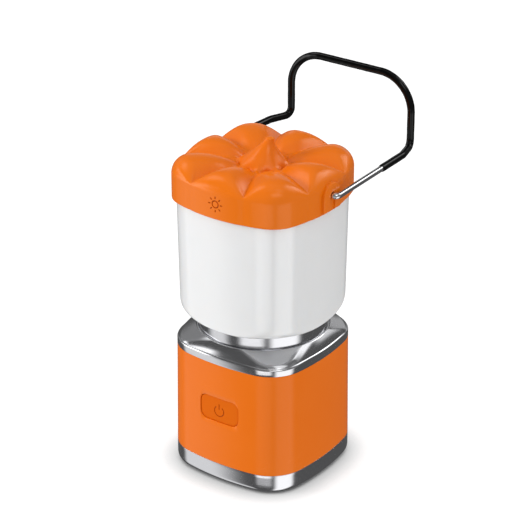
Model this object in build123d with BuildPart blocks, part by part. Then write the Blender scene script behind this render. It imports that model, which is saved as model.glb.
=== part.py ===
"""Mini camping lantern: square metal-trimmed base, milky diffuser, pumpkin cap and a wire bail.

Frame: origin on the floor under the middle of the base, +Z up, the button on the -Y face,
the bail's pivots on the +X and -X faces. All sizes are in millimetres.
"""
from build123d import *
import os
from math import atan, atan2, cos, degrees, pi, radians, sin, sqrt, tan

os.makedirs("parts", exist_ok=True)

# ------------------------------------------------------------------ driving dimensions
base_half = 25.0  # half width of the base across its flats, at the foot of the sleeve
base_corner = 13.2  # corner radius of the base
base_bow = 80.9  # radius that the flat-looking sides bow out to
foot_proud = 0.3  # how far the rubber pad stands out of the bottom cap
band_top = 7.0  # top of the polished bottom band
band_round = 2.2  # rounding under the bottom band
sleeve_top = 43.2  # top of the painted sleeve
sleeve_draw_in = 0.4  # how much narrower the sleeve is at its top, per side
sleeve_wall = 2.0
rim_top = 45.3  # top of the straight rim of the top cover
rim_steps = ((0.0, 0.0), (0.45, 0.1), (0.8, 0.35), (1.05, 0.75))  # rise and draw-in of its rounded edge
shoulder_top = 49.6  # where the top cover meets the neck collar
shoulder_radius = 22.0
collar_radius = 21.3
collar_top = 53.95

diffuser_bottom = 54.1
diffuser_half = 23.53  # half width at the diffuser's bottom
diffuser_corner = 12.5
diffuser_bow = 80.0
diffuser_draft = 1.0  # degrees that the diffuser widens by on the way up
diffuser_wall = 1.5
diffuser_top = 97.0
diffuser_widening = (diffuser_top - diffuser_bottom) * tan(radians(diffuser_draft))
bowl_floor_radius = 21.0  # flat part under the diffuser
bowl_radius = 27.76  # radius that the turned-in bottom grows out to
bowl_height = 6.83

cap_half = 25.9
cap_corner = 10.1
cap_bow = 52.3
cap_bottom = 95.15
lobe_top = 109.2
lobe_round = 5.3
lobe_count = 8
stem_base = 105.6
stem_top = 114.2
ear_face = 26.8  # distance of the raised ear pads from the middle
ear_half_width = 4.5
ear_bottom = 95.9
ear_top = 105.1
pivot_height = 100.8

wire_radius = 1.0
sleeve_radius = 1.25  # outside of the black sleeve on the bail
bare_wire_length = 27.0  # bare wire between the pivot and the sleeve

button_height = 26.7  # height of the button's middle
button_size = (15.0, 8.6)
button_corner = 2.5
button_inset = 0.35  # how far the key sits below the sleeve
button_gap = 0.15
port_height = 22.0  # height of the charging port on the back

fit_gap = 0.05
screw_radius = 0.9
screw_hole = 0.95
screw_clearance = 1.15
head_radius = 1.9
head_height = 1.3
standing = (Align.CENTER, Align.CENTER, Align.MIN)
hanging = (Align.CENTER, Align.CENTER, Align.MAX)

base_taper = degrees(atan(sleeve_draw_in / (sleeve_top - band_top)))


# ------------------------------------------------------------------ helpers
def bowed_square(half_width, corner_radius, bow_radius, inset=0.0):
    """A rounded square whose four sides bow outwards."""
    half_width = half_width - inset
    corner_radius = corner_radius - inset
    bow_radius = bow_radius - inset
    lean = bow_radius - half_width
    reach = bow_radius - corner_radius
    corner = (sqrt(2 * reach**2 - lean**2) - lean) / 2
    half_angle = degrees(atan2(corner, corner + lean))
    with BuildSketch(mode=Mode.PRIVATE) as outline:
        with BuildLine():
            for turn in (0, 90, 180, 270):
                c, s = cos(radians(turn)), sin(radians(turn))
                CenterArc((-lean * c, -lean * s), bow_radius, turn - half_angle, 2 * half_angle)
                corner_at = (corner * (c - s), corner * (s + c))
                CenterArc(corner_at, corner_radius, turn + half_angle, 90 - 2 * half_angle)
        make_face()
    return outline.sketch


def base_outline(inset=0.0):
    """The base's outline at the foot of the sleeve."""
    return bowed_square(base_half, base_corner, base_bow, inset)


def base_outline_top(inset=0.0):
    """The base's outline at the top of the sleeve."""
    return base_outline(inset + sleeve_draw_in)


def cap_outline(inset=0.0):
    """The outline of the cap's skirt."""
    return bowed_square(cap_half, cap_corner, cap_bow, inset)


def diffuser_outline(inset=0.0):
    """The diffuser's outline at its bottom."""
    return bowed_square(diffuser_half, diffuser_corner, diffuser_bow, inset)


def outline_ring(outer, inner):
    """The band between two outlines."""
    with BuildSketch(mode=Mode.PRIVATE) as ring:
        add(outer)
        add(inner, mode=Mode.SUBTRACT)
    return ring.sketch


def save(builder, name):
    """Label a finished piece and write its STEP file."""
    builder.part.label = name
    export_step(builder.part, f"parts/{name}.step")


def pan_screw(length):
    """A pan head screw in the current part: head on z = 0, shank upwards."""
    Cylinder(head_radius, head_height, align=hanging)
    Cylinder(screw_radius, length, align=standing)


# ------------------------------------------------------------------ bottom cap and foot
pad_half = 19.5
pad_corner = 9.0
pad_bow = 70.0
pad_thickness = 1.2
cap_floor_top = 2.3
lip_height = 3.0
lip_inset = sleeve_wall + 0.1
lip_wall = 1.4
groove_depth = 0.6
groove_height = 1.0
seal_slack = 0.02
seal_outer_inset = lip_inset - 0.03
seal_inner_inset = lip_inset + groove_depth - seal_slack
post_at = 15.5  # the four chassis posts stand at plus and minus this
screw_spacing = 23.0  # between the four screws in the floor
sunk_head_radius = 1.9
sunk_head_height = 0.95
countersink_radius = sunk_head_radius + 0.15
pad_groove_pitch = 8.0
pad_groove_size = (24.0, 1.2)
pad_groove_depth = 0.3

with BuildPart() as foot_pad:
    with BuildSketch(Plane.XY):
        add(bowed_square(pad_half, pad_corner, pad_bow))
    extrude(amount=pad_thickness)
    fillet(foot_pad.faces().sort_by(Axis.Z)[0].edges(), 0.25)
    # four shallow grip grooves across the pad
    with BuildSketch(Plane.XY):
        with GridLocations(0, pad_groove_pitch, 1, 4):
            Rectangle(*pad_groove_size)
    extrude(amount=pad_groove_depth, mode=Mode.SUBTRACT)
save(foot_pad, "foot_pad")

with BuildPart() as bottom_cap:
    with BuildSketch(Plane.XY.offset(foot_proud)):
        add(base_outline())
    extrude(amount=band_top - foot_proud)
    fillet(bottom_cap.faces().sort_by(Axis.Z)[0].edges(), band_round)
    with BuildSketch(Plane.XY.offset(band_top)):
        add(base_outline(lip_inset))
    extrude(amount=lip_height)
    with BuildSketch(Plane.XY.offset(cap_floor_top)):
        add(base_outline(lip_inset + lip_wall))
    extrude(amount=band_top + lip_height, mode=Mode.SUBTRACT)
    # groove for the seal round the lip
    with BuildSketch(Plane.XY.offset(band_top + 1)):
        add(outline_ring(base_outline(lip_inset - 1), base_outline(lip_inset + groove_depth)))
    extrude(amount=groove_height, mode=Mode.SUBTRACT)
    with BuildSketch(Plane.XY):
        add(bowed_square(pad_half, pad_corner, pad_bow, -fit_gap))
    extrude(amount=pad_thickness, mode=Mode.SUBTRACT)
    with Locations((0, 0, pad_thickness)):
        with GridLocations(screw_spacing, screw_spacing, 2, 2):
            Cone(
                countersink_radius,
                screw_clearance,
                sunk_head_height,
                align=standing,
                mode=Mode.SUBTRACT,
            )
            Cylinder(screw_clearance, cap_floor_top, align=standing, mode=Mode.SUBTRACT)
save(bottom_cap, "bottom_cap")

with BuildPart() as lower_gasket:
    with BuildSketch(Plane.XY.offset(band_top + 1 + seal_slack)):
        add(outline_ring(base_outline(seal_outer_inset), base_outline(seal_inner_inset)))
    extrude(amount=groove_height - 2 * seal_slack)
save(lower_gasket, "lower_gasket")

magnet_radius = 8.0
magnet_height = 1.6
with BuildPart() as base_magnet:
    with BuildSketch(Plane.XY.offset(cap_floor_top)):
        Circle(magnet_radius)
    extrude(amount=magnet_height)
    chamfer(base_magnet.edges(), 0.2)
save(base_magnet, "base_magnet")

# ------------------------------------------------------------------ painted sleeve
port_recess_floor = 23.2
port_cover_front = 24.4
port_cover_half = (7.2, 3.9)
port_gap = 0.25
port_recess_corner = 1.6
anchor_left = -9.7
anchor_plug_at = anchor_left + 1.3  # middle of the plug that holds the cover's strap
anchor_plug_radius = 1.0
nick_radius = 2.2  # finger nick at the free end of the port cover
nick_depth = 0.5
socket_window = (9.4, 3.7)
socket_window_corner = 1.4
seat_front = 22.55  # flat seat behind the button's window
seat_size = (19.0, 12.4)

with BuildPart() as body_sleeve:
    with BuildSketch(Plane.XY.offset(band_top)):
        add(base_outline())
    extrude(amount=sleeve_top - band_top, taper=base_taper)
    with BuildSketch(Plane.XY.offset(band_top)):
        add(base_outline(sleeve_wall))
    extrude(amount=sleeve_top - band_top, taper=base_taper, mode=Mode.SUBTRACT)
    # window for the button, with a flat seat for its flange behind the wall
    with BuildSketch(Plane.XZ.offset(seat_front)):
        with Locations((0, button_height)):
            Rectangle(*seat_size)
    extrude(amount=-3, mode=Mode.SUBTRACT)
    with BuildSketch(Plane.XZ.offset(20)):
        with Locations((0, button_height)):
            key_gap = 2 * button_gap
            RectangleRounded(button_size[0] + key_gap, button_size[1] + key_gap, button_corner + button_gap)
    extrude(amount=8, mode=Mode.SUBTRACT)
    # recess for the port cover, its socket window, its anchor hole and a finger nick
    recess_left = anchor_left
    recess_right = port_cover_half[0] + port_gap
    with BuildSketch(Plane.XZ.offset(-port_recess_floor)):
        with Locations(((recess_left + recess_right) / 2, port_height)):
            recess_height = 2 * (port_cover_half[1] + port_gap)
            RectangleRounded(recess_right - recess_left, recess_height, port_recess_corner)
    extrude(amount=-4, mode=Mode.SUBTRACT)
    with BuildSketch(Plane.XZ.offset(-20)):
        with Locations((0, port_height)):
            RectangleRounded(*socket_window, socket_window_corner)
        with Locations((anchor_plug_at, port_height)):
            Circle(anchor_plug_radius + fit_gap)
    extrude(amount=-6, mode=Mode.SUBTRACT)
    with BuildSketch(Plane.XZ.offset(-port_recess_floor - nick_depth)):
        with Locations((recess_right, port_height)):
            Circle(nick_radius)
    extrude(amount=-4, mode=Mode.SUBTRACT)
save(body_sleeve, "body_sleeve")

# ------------------------------------------------------------------ top cover, collar and neck
cover_cavity_top = 45.0
neck_cavity_radius = 18.5
neck_cavity_top = 47.6
neck_hole_radius = 7.0
neck_screw_circle = 11.0

with BuildPart() as top_cover:
    with BuildSketch(Plane.XY.offset(sleeve_top)):
        add(base_outline_top())
    extrude(amount=rim_top - sleeve_top)
    # the rim's rounded edge, then the slope from the square rim up to the round shoulder
    for rise, draw_in in rim_steps:
        with BuildSketch(Plane.XY.offset(rim_top + rise)):
            add(base_outline_top(draw_in))
    with BuildSketch(Plane.XY.offset(shoulder_top)):
        with BuildLine():
            for turn in (0, 90, 180, 270):
                CenterArc((0, 0), shoulder_radius, turn - 25, 50)
                CenterArc((0, 0), shoulder_radius, turn + 25, 40)
        make_face()
    loft(ruled=True)
    with BuildSketch(Plane.XY.offset(sleeve_top)):
        add(base_outline_top(lip_inset))
    extrude(amount=-lip_height)
    with BuildSketch(Plane.XY.offset(sleeve_top - lip_height)):
        add(base_outline_top(lip_inset + lip_wall))
    extrude(amount=cover_cavity_top - sleeve_top + lip_height, mode=Mode.SUBTRACT)
    with BuildSketch(Plane.XY.offset(sleeve_top)):
        Circle(neck_cavity_radius)
    extrude(amount=neck_cavity_top - sleeve_top, mode=Mode.SUBTRACT)
    with BuildSketch(Plane.XY.offset(sleeve_top)):
        Circle(neck_hole_radius)
        with PolarLocations(neck_screw_circle, 3):
            Circle(screw_clearance)
    extrude(amount=shoulder_top, mode=Mode.SUBTRACT)
    with BuildSketch(Plane.XY.offset(sleeve_top - 2)):
        add(outline_ring(base_outline_top(lip_inset - 1), base_outline_top(lip_inset + groove_depth)))
    extrude(amount=groove_height, mode=Mode.SUBTRACT)
save(top_cover, "top_cover")

with BuildPart() as upper_gasket:
    with BuildSketch(Plane.XY.offset(sleeve_top - 2 + seal_slack)):
        add(outline_ring(base_outline_top(seal_outer_inset), base_outline_top(seal_inner_inset)))
    extrude(amount=groove_height - 2 * seal_slack)
save(upper_gasket, "upper_gasket")

collar_bore = 16.6
seal_inner = 18.0
seal_outer = 19.5
seal_seat = 53.0
with BuildPart() as neck_collar:
    with BuildSketch(Plane.XY.offset(shoulder_top)):
        Circle(collar_radius)
        Circle(collar_bore, mode=Mode.SUBTRACT)
    extrude(amount=collar_top - shoulder_top)
    with BuildSketch(Plane.XY.offset(seal_seat)):
        Circle(seal_outer)
        Circle(seal_inner, mode=Mode.SUBTRACT)
    extrude(amount=collar_top, mode=Mode.SUBTRACT)
    outer_edges = neck_collar.edges().filter_by(GeomType.CIRCLE).filter_by(
        lambda e: abs(e.radius - collar_radius) < 0.01
    )
    fillet(outer_edges, 0.4)
save(neck_collar, "neck_collar")

with BuildPart() as neck_seal:
    with BuildSketch(Plane.XY.offset(seal_seat)):
        Circle(seal_outer - fit_gap)
        Circle(seal_inner + fit_gap, mode=Mode.SUBTRACT)
    extrude(amount=diffuser_bottom - seal_seat)
save(neck_seal, "neck_seal")

diffuser_floor = diffuser_bottom + 1.6
flange_radius = 19.2
flange_top = 57.2
lead_hole = 3.2
board_screw_circle = 8.0
with BuildPart() as heat_sink:
    with BuildSketch(Plane.XY.offset(shoulder_top)):
        Circle(collar_bore - 0.2)
    extrude(amount=diffuser_floor - shoulder_top)
    with BuildSketch(Plane.XY.offset(diffuser_floor)):
        Circle(flange_radius)
    extrude(amount=flange_top - diffuser_floor)
    with BuildSketch(Plane.XY.offset(shoulder_top)):
        Circle(lead_hole)
    extrude(amount=flange_top, mode=Mode.SUBTRACT)
    with BuildSketch(Plane.XY.offset(shoulder_top)):
        with PolarLocations(neck_screw_circle, 3):
            Circle(screw_hole)
    extrude(amount=4, mode=Mode.SUBTRACT)
    with BuildSketch(Plane.XY.offset(flange_top)):
        with PolarLocations(board_screw_circle, 3, start_angle=60):
            Circle(screw_hole)
    extrude(amount=-4, mode=Mode.SUBTRACT)
save(heat_sink, "heat_sink")

with BuildPart() as neck_screws:
    with PolarLocations(neck_screw_circle, 3):
        with Locations((0, 0, neck_cavity_top)):
            pan_screw(5)
save(neck_screws, "neck_screws")

# ------------------------------------------------------------------ light engine
board_radius = 18.5
board_top = 58.2
led_circle = 13.5
led_count = 12
with BuildPart() as led_board:
    with BuildSketch(Plane.XY.offset(flange_top)):
        Circle(board_radius)
        Circle(lead_hole, mode=Mode.SUBTRACT)
        with PolarLocations(board_screw_circle, 3, start_angle=60):
            Circle(screw_clearance, mode=Mode.SUBTRACT)
    extrude(amount=board_top - flange_top)
save(led_board, "led_board")

with BuildPart() as led_packages:
    with BuildSketch(Plane.XY.offset(board_top)):
        with PolarLocations(led_circle, led_count):
            Rectangle(3.5, 2.8)
    extrude(amount=0.8)
    chamfer(led_packages.faces().filter_by(Axis.Z).sort_by(Axis.Z)[led_count:].edges(), 0.15)
save(led_packages, "led_packages")

with BuildPart() as led_board_screws:
    with PolarLocations(board_screw_circle, 3, start_angle=60):
        with Locations(Location((0, 0, board_top), (180, 0, 0))):
            pan_screw(4)
save(led_board_screws, "led_board_screws")

# ------------------------------------------------------------------ diffuser
bowl_top = diffuser_bottom + bowl_height
with BuildPart() as bowl_outside:
    with BuildSketch(Plane.XZ):
        with BuildLine():
            Line((0, diffuser_bottom), (bowl_floor_radius, diffuser_bottom))
            EllipticalCenterArc(
                (bowl_floor_radius, bowl_top),
                bowl_radius - bowl_floor_radius,
                bowl_height,
                270,
                arc_size=90,
            )
            Line((bowl_radius, bowl_top), (bowl_radius + 3, diffuser_top))
            Line((bowl_radius + 3, diffuser_top), (0, diffuser_top))
            Line((0, diffuser_top), (0, diffuser_bottom))
        make_face()
    revolve(axis=Axis.Z)

with BuildPart() as bowl_inside:
    inner_floor_radius = bowl_floor_radius - 0.8
    inner_bowl_radius = bowl_radius - diffuser_wall
    with BuildSketch(Plane.XZ):
        with BuildLine():
            Line((0, diffuser_floor), (inner_floor_radius, diffuser_floor))
            EllipticalCenterArc(
                (inner_floor_radius, bowl_top),
                inner_bowl_radius - inner_floor_radius,
                bowl_top - diffuser_floor,
                270,
                arc_size=90,
            )
            Line((inner_bowl_radius, bowl_top), (bowl_radius + 2, diffuser_top + 1))
            Line((bowl_radius + 2, diffuser_top + 1), (0, diffuser_top + 1))
            Line((0, diffuser_top + 1), (0, diffuser_floor))
        make_face()
    revolve(axis=Axis.Z)

with BuildPart() as diffuser_hollow:
    with BuildSketch(Plane.XY.offset(diffuser_bottom)):
        add(diffuser_outline(diffuser_wall))
    extrude(amount=diffuser_top + 1 - diffuser_bottom, taper=-diffuser_draft)
    add(bowl_inside.part, mode=Mode.INTERSECT)

with BuildPart() as diffuser:
    with BuildSketch(Plane.XY.offset(diffuser_bottom)):
        add(diffuser_outline())
    extrude(amount=diffuser_top - diffuser_bottom, taper=-diffuser_draft)
    add(bowl_outside.part, mode=Mode.INTERSECT)
    add(diffuser_hollow.part, mode=Mode.SUBTRACT)
    with BuildSketch(Plane.XY.offset(diffuser_bottom - 1)):
        Circle(collar_bore)
    extrude(amount=4, mode=Mode.SUBTRACT)
save(diffuser, "diffuser")

# ------------------------------------------------------------------ cap
plate_top = 98.4
cap_cavity_top = 101.6
cap_cavity_inset = 2.5
cap_post_at = 13.0
ear_hole_end = 23.1
ear_start = 23.5  # where the ear pads grow out of the skirt
ear_block_at = 22.4  # solid blocks left inside the skirt behind the pivot holes
ear_block_size = (4.6, 6.4)
stem_pit_radius = 7.5
leg_groove_width = 2.6
leg_groove_depth = 0.5
cap_post_radius = 2.6
sun_at = (0.3, 100.3)
sun_depth = 0.3
sun_ray_circle = 2.25
sun_ray_size = (0.9, 0.4)

# The space over one crease: a valley with convex flanks that widens on its way out.
# Each row: distance from the middle, height of the crease, height of the lobes' crests.
crease_stations = (
    (6.0, 105.4, 105.9),
    (11.0, 106.0, 108.0),
    (17.0, 106.2, lobe_top),
    (25.0, 105.0, lobe_top),
    (31.0, 103.6, lobe_top),
)
half_lobe = tan(pi / lobe_count)
crease_cutter_top = lobe_top + 6
with BuildPart() as crease_cutter:
    for distance, crease_height, crest_height in crease_stations:
        reach = distance * half_lobe
        flank_height = crease_height + 0.7 * (crest_height - crease_height)
        with BuildSketch(Plane.YZ.offset(distance)):
            with BuildLine():
                for flank in (-reach, reach):
                    ThreePointArc((0, crease_height), (0.42 * flank, flank_height), (flank, crest_height))
                    Line((flank, crest_height), (flank, crease_cutter_top))
                Line((-reach, crease_cutter_top), (reach, crease_cutter_top))
            make_face()
    loft()

with BuildPart() as cap_cover:
    with BuildSketch(Plane.XY.offset(cap_bottom)):
        add(cap_outline())
    extrude(amount=lobe_top - cap_bottom)
    fillet(cap_cover.faces().sort_by(Axis.Z)[-1].edges(), lobe_round)
    # the pit round the stem, then the creases between the lobes
    with BuildSketch(Plane.XY.offset(stem_base)):
        Circle(stem_pit_radius)
    extrude(amount=lobe_top, mode=Mode.SUBTRACT)
    with PolarLocations(0, lobe_count, start_angle=180 / lobe_count):
        add(crease_cutter.part, mode=Mode.SUBTRACT)
    # pointed stem that leans to one side
    stem_lean = Vector(1.95, 1.4)
    stem_rings = ((0.0, 8.8), (0.17, 6.9), (0.42, 4.8), (0.75, 2.3), (1.0, 0.85))
    for share, ring_radius in stem_rings:
        ring_height = stem_base - 0.3 + share * (stem_top - stem_base + 0.3)
        lean_here = stem_lean * share**1.5
        with BuildSketch(Plane(origin=(lean_here.X, lean_here.Y, ring_height))):
            Circle(ring_radius)
    loft()
    # ear pads round the bail's pivot holes
    for side_plane in (Plane.YZ, Plane.YZ.rotated((0, 0, 180))):
        with BuildSketch(side_plane.offset(ear_start)):
            with Locations((0, (ear_bottom + ear_top) / 2)):
                ear = Rectangle(2 * ear_half_width, ear_top - ear_bottom)
            fillet(ear.vertices().sort_by(Axis.Y)[2:], ear_half_width - 0.1)
        extrude(amount=ear_face - ear_start)
    # the room inside: over the diffuser's rim and the plate, then above the plate
    with BuildSketch(Plane.XY.offset(cap_bottom)):
        add(diffuser_outline(-diffuser_widening - 0.1))
    extrude(amount=plate_top - cap_bottom, mode=Mode.SUBTRACT)
    with BuildSketch(Plane.XY.offset(plate_top)):
        add(cap_outline(cap_cavity_inset))
        with Locations((ear_block_at, 0), (-ear_block_at, 0)):
            Rectangle(*ear_block_size, mode=Mode.SUBTRACT)
        with GridLocations(2 * cap_post_at, 2 * cap_post_at, 2, 2):
            Circle(cap_post_radius, mode=Mode.SUBTRACT)
    extrude(amount=cap_cavity_top - plate_top, mode=Mode.SUBTRACT)
    with BuildSketch(Plane.XY.offset(plate_top)):
        with GridLocations(2 * cap_post_at, 2 * cap_post_at, 2, 2):
            Circle(screw_hole)
    extrude(amount=5, mode=Mode.SUBTRACT)
    # pivot holes, and the shallow grooves that the bail's legs pass when it hangs down
    for side_plane in (Plane.YZ, Plane.YZ.rotated((0, 0, 180))):
        with BuildSketch(side_plane.offset(ear_hole_end)):
            with Locations((0, pivot_height)):
                Circle(wire_radius + 0.06)
        extrude(amount=8, mode=Mode.SUBTRACT)
        with BuildSketch(side_plane.offset(ear_face - leg_groove_depth)):
            with Locations((0, (ear_bottom + pivot_height) / 2 - 1)):
                Rectangle(leg_groove_width, pivot_height - ear_bottom + 2)
        extrude(amount=2, mode=Mode.SUBTRACT)
    # a small engraved sun on the front of the skirt
    with BuildSketch(Plane.XZ.offset(cap_half - sun_depth)):
        with Locations(sun_at):
            Circle(1.35)
            Circle(0.95, mode=Mode.SUBTRACT)
            with PolarLocations(sun_ray_circle, 8):
                Rectangle(*sun_ray_size)
    extrude(amount=2, mode=Mode.SUBTRACT)
save(cap_cover, "cap_cover")

spigot_inset = 0.15 + diffuser_wall
with BuildPart() as cap_plate:
    with BuildSketch(Plane.XY.offset(diffuser_top)):
        add(diffuser_outline(-diffuser_widening))
    extrude(amount=plate_top - diffuser_top)
    with BuildSketch(Plane.XY.offset(diffuser_top)):
        add(diffuser_outline(spigot_inset - diffuser_widening))
    extrude(amount=-3)
    with BuildSketch(Plane.XY.offset(diffuser_top)):
        add(diffuser_outline(spigot_inset - diffuser_widening + 1.4))
    extrude(amount=-3, mode=Mode.SUBTRACT)
    with BuildSketch(Plane.XY.offset(diffuser_top)):
        with GridLocations(2 * cap_post_at, 2 * cap_post_at, 2, 2):
            Circle(screw_clearance)
        Circle(screw_clearance)
    extrude(amount=plate_top - diffuser_top, mode=Mode.SUBTRACT)
save(cap_plate, "cap_plate")

with BuildPart() as cap_screws:
    with GridLocations(2 * cap_post_at, 2 * cap_post_at, 2, 2):
        with Locations((0, 0, diffuser_top)):
            pan_screw(5.5)
save(cap_screws, "cap_screws")

cone_radius = 16.2
cone_rim = 95.8
cone_tip = 84.0
with BuildPart() as cone_reflector:
    with BuildSketch(Plane.XZ):
        with BuildLine():
            Line((0, diffuser_top), (cone_radius, diffuser_top))
            Line((cone_radius, diffuser_top), (cone_radius, cone_rim))
            ThreePointArc((cone_radius, cone_rim), (6.4, 92.4), (0.8, cone_tip))
            Line((0.8, cone_tip), (0, cone_tip))
            Line((0, cone_tip), (0, diffuser_top))
        make_face()
    revolve(axis=Axis.Z)
    with BuildSketch(Plane.XY.offset(diffuser_top)):
        Circle(screw_hole)
    extrude(amount=-4, mode=Mode.SUBTRACT)
save(cone_reflector, "cone_reflector")

with BuildPart() as reflector_screw:
    with Locations(Location((0, 0, plate_top), (180, 0, 0))):
        pan_screw(5)
save(reflector_screw, "reflector_screw")

# ------------------------------------------------------------------ bail
pivot_reach = 28.3  # where the legs run past the ears
leg_bend = Vector(26.4, 40.9, 100.4)
loop_side = 23.8
loop_back = 49.6
loop_foot_height = 100.1
loop_bar_height = 123.5
loop_corner = 12.0


def mirrored(points):
    """The points of the right half, then the left half's in reverse."""
    left_half = [(-x, y, z) for x, y, z in reversed(points)]
    return points + left_half


leg_start = Vector(pivot_reach, 0, pivot_height)
leg_direction = (leg_bend - leg_start).normalized()
rubber_start = leg_start + leg_direction * bare_wire_length
loop_points = [
    tuple(leg_bend),
    (loop_side, loop_back, loop_foot_height),
    (loop_side, loop_back, loop_bar_height),
]
loop_radii = [8.0, 4.0, loop_corner, loop_corner, 4.0, 8.0]
wire_points = mirrored([(ear_hole_end + 0.3, 0, pivot_height), tuple(leg_start)] + loop_points)
sleeve_points = mirrored([tuple(rubber_start)] + loop_points)
pivot_bend = 1.3

with BuildPart() as bail_wire:
    with BuildLine() as wire_line:
        FilletPolyline(*wire_points, radius=[pivot_bend] + loop_radii + [pivot_bend])
    with BuildSketch(Plane(origin=wire_line.line @ 0, z_dir=wire_line.line % 0)):
        Circle(wire_radius)
    sweep()
save(bail_wire, "bail_wire")

with BuildPart() as bail_sleeve:
    with BuildLine() as sleeve_line:
        FilletPolyline(*sleeve_points, radius=loop_radii)
    with BuildSketch(Plane(origin=sleeve_line.line @ 0, z_dir=sleeve_line.line % 0)):
        Circle(sleeve_radius)
        Circle(wire_radius, mode=Mode.SUBTRACT)
    sweep()
save(bail_sleeve, "bail_sleeve")

# ------------------------------------------------------------------ button and switch
flange_front = 22.5
flange_back = 21.7
membrane_back = 21.2
switch_front = 20.3
board_front = 17.9
board_back = 16.5
plunger_radius = 1.7
plunger_tip = 19.3

with BuildPart() as inset_body:
    with BuildSketch(Plane.XY.offset(band_top)):
        add(base_outline(button_inset))
    extrude(amount=sleeve_top - band_top, taper=base_taper)

with BuildPart() as button_key:
    with BuildSketch(Plane.XZ.offset(flange_front)):
        with Locations((0, button_height)):
            RectangleRounded(*button_size, button_corner)
    extrude(amount=5)
    add(inset_body.part, mode=Mode.INTERSECT)
    # the on-off symbol, cut into the key
    symbol_floor = base_half - button_inset - sleeve_draw_in / 2 - 0.25
    with BuildSketch(Plane.XZ.offset(symbol_floor)):
        with Locations((0, button_height - 0.4)):
            Circle(2.1)
            Circle(1.65, mode=Mode.SUBTRACT)
            with Locations((0, 2)):
                Rectangle(2.0, 2.4, mode=Mode.SUBTRACT)
            with Locations((0, 1.5)):
                Rectangle(0.45, 2.4)
    extrude(amount=2, mode=Mode.SUBTRACT)
    with BuildSketch(Plane.XZ.offset(flange_back)):
        with Locations((0, button_height)):
            RectangleRounded(button_size[0] + 2, button_size[1] + 2, button_corner)
    extrude(amount=flange_front - flange_back)
save(button_key, "button_key")

with BuildPart() as button_membrane:
    with BuildSketch(Plane.XZ.offset(membrane_back)):
        with Locations((0, button_height)):
            RectangleRounded(button_size[0] + 2.6, button_size[1] + 2.6, button_corner)
    extrude(amount=flange_back - membrane_back)
save(button_membrane, "button_membrane")

with BuildPart() as switch_plunger:
    with BuildSketch(Plane.XZ.offset(plunger_tip)):
        with Locations((0, button_height)):
            Circle(plunger_radius)
    extrude(amount=membrane_back - plunger_tip)
save(switch_plunger, "switch_plunger")

with BuildPart() as switch_housing:
    with BuildSketch(Plane.XZ.offset(board_front)):
        with Locations((0, button_height)):
            RectangleRounded(6.2, 6.2, 0.5)
    extrude(amount=switch_front - board_front)
    with BuildSketch(Plane.XZ.offset(switch_front)):
        with Locations((0, button_height)):
            Circle(plunger_radius + fit_gap)
    extrude(amount=-1.6, mode=Mode.SUBTRACT)
save(switch_housing, "switch_housing")

# ------------------------------------------------------------------ electronics and cells
board_bottom = 12.0
board_upper = 39.4
board_half = 13.0
with BuildPart() as main_board:
    with BuildSketch(Plane.XZ.offset(board_back)):
        with Locations((0, (board_bottom + board_upper) / 2)):
            RectangleRounded(2 * board_half, board_upper - board_bottom, 1)
        with Locations((0, board_upper - 2), (0, board_bottom + 2)):
            with GridLocations(2 * (board_half - 2), 0, 2, 1):
                Circle(screw_clearance, mode=Mode.SUBTRACT)
    extrude(amount=board_front - board_back)
save(main_board, "main_board")

with BuildPart() as driver_components:
    # power inductor, control chip, charge chip and a row of small capacitors
    with BuildSketch(Plane.XZ.offset(board_front)):
        with Locations((4.5, 36.2)):
            RectangleRounded(5, 5, 1)
    extrude(amount=3)
    with BuildSketch(Plane.XZ.offset(board_front)):
        with Locations((-4, 36.4), (3.5, 16.5)):
            Rectangle(4, 4)
    extrude(amount=0.9)
    with BuildSketch(Plane.XZ.offset(board_front)):
        with Locations((-4.5, 16.5)):
            with GridLocations(2.4, 3, 3, 2):
                Rectangle(1.2, 2)
    extrude(amount=1.1)
save(driver_components, "driver_components")

socket_size = (8.94, 3.26)
socket_wall = 0.3
socket_mouth = 22.55
socket_back = 15.2
charge_board_top = port_height - socket_size[1] / 2
charge_board_thickness = 1.0
with BuildPart() as charge_board:
    with BuildSketch(Plane.XY.offset(charge_board_top - charge_board_thickness)):
        with Locations((0, 16.0)):
            Rectangle(13, 12)
    extrude(amount=charge_board_thickness)
save(charge_board, "charge_board")

with BuildPart() as usb_socket:
    with BuildSketch(Plane.XZ.offset(-socket_back)):
        with Locations((0, port_height)):
            RectangleRounded(*socket_size, 1.3)
    extrude(amount=socket_back - socket_mouth)
    with BuildSketch(Plane.XZ.offset(-socket_mouth)):
        with Locations((0, port_height)):
            RectangleRounded(socket_size[0] - 2 * socket_wall, socket_size[1] - 2 * socket_wall, 1.1)
    extrude(amount=6.2, mode=Mode.SUBTRACT)
    with BuildSketch(Plane.XZ.offset(-socket_back)):
        with Locations((0, port_height)):
            Rectangle(6.7, 0.7)
    extrude(amount=-6.2)
save(usb_socket, "usb_socket")

hinge_x = -port_cover_half[0] - 0.05
with BuildPart() as port_cover:
    with BuildSketch(Plane.XZ.offset(-port_recess_floor - fit_gap)):
        with Locations((0, port_height)):
            RectangleRounded(2 * port_cover_half[0], 2 * port_cover_half[1], 1.5)
    extrude(amount=port_recess_floor + fit_gap - port_cover_front)
    fillet(port_cover.faces().sort_by(Axis.Y)[-1].edges(), 0.25)
    with BuildSketch(Plane.XZ.offset(-port_recess_floor - fit_gap)):
        with Locations((0, port_height)):
            RectangleRounded(7.4, 2.1, 1.0)
    extrude(amount=1.5)
save(port_cover, "port_cover")

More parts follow.
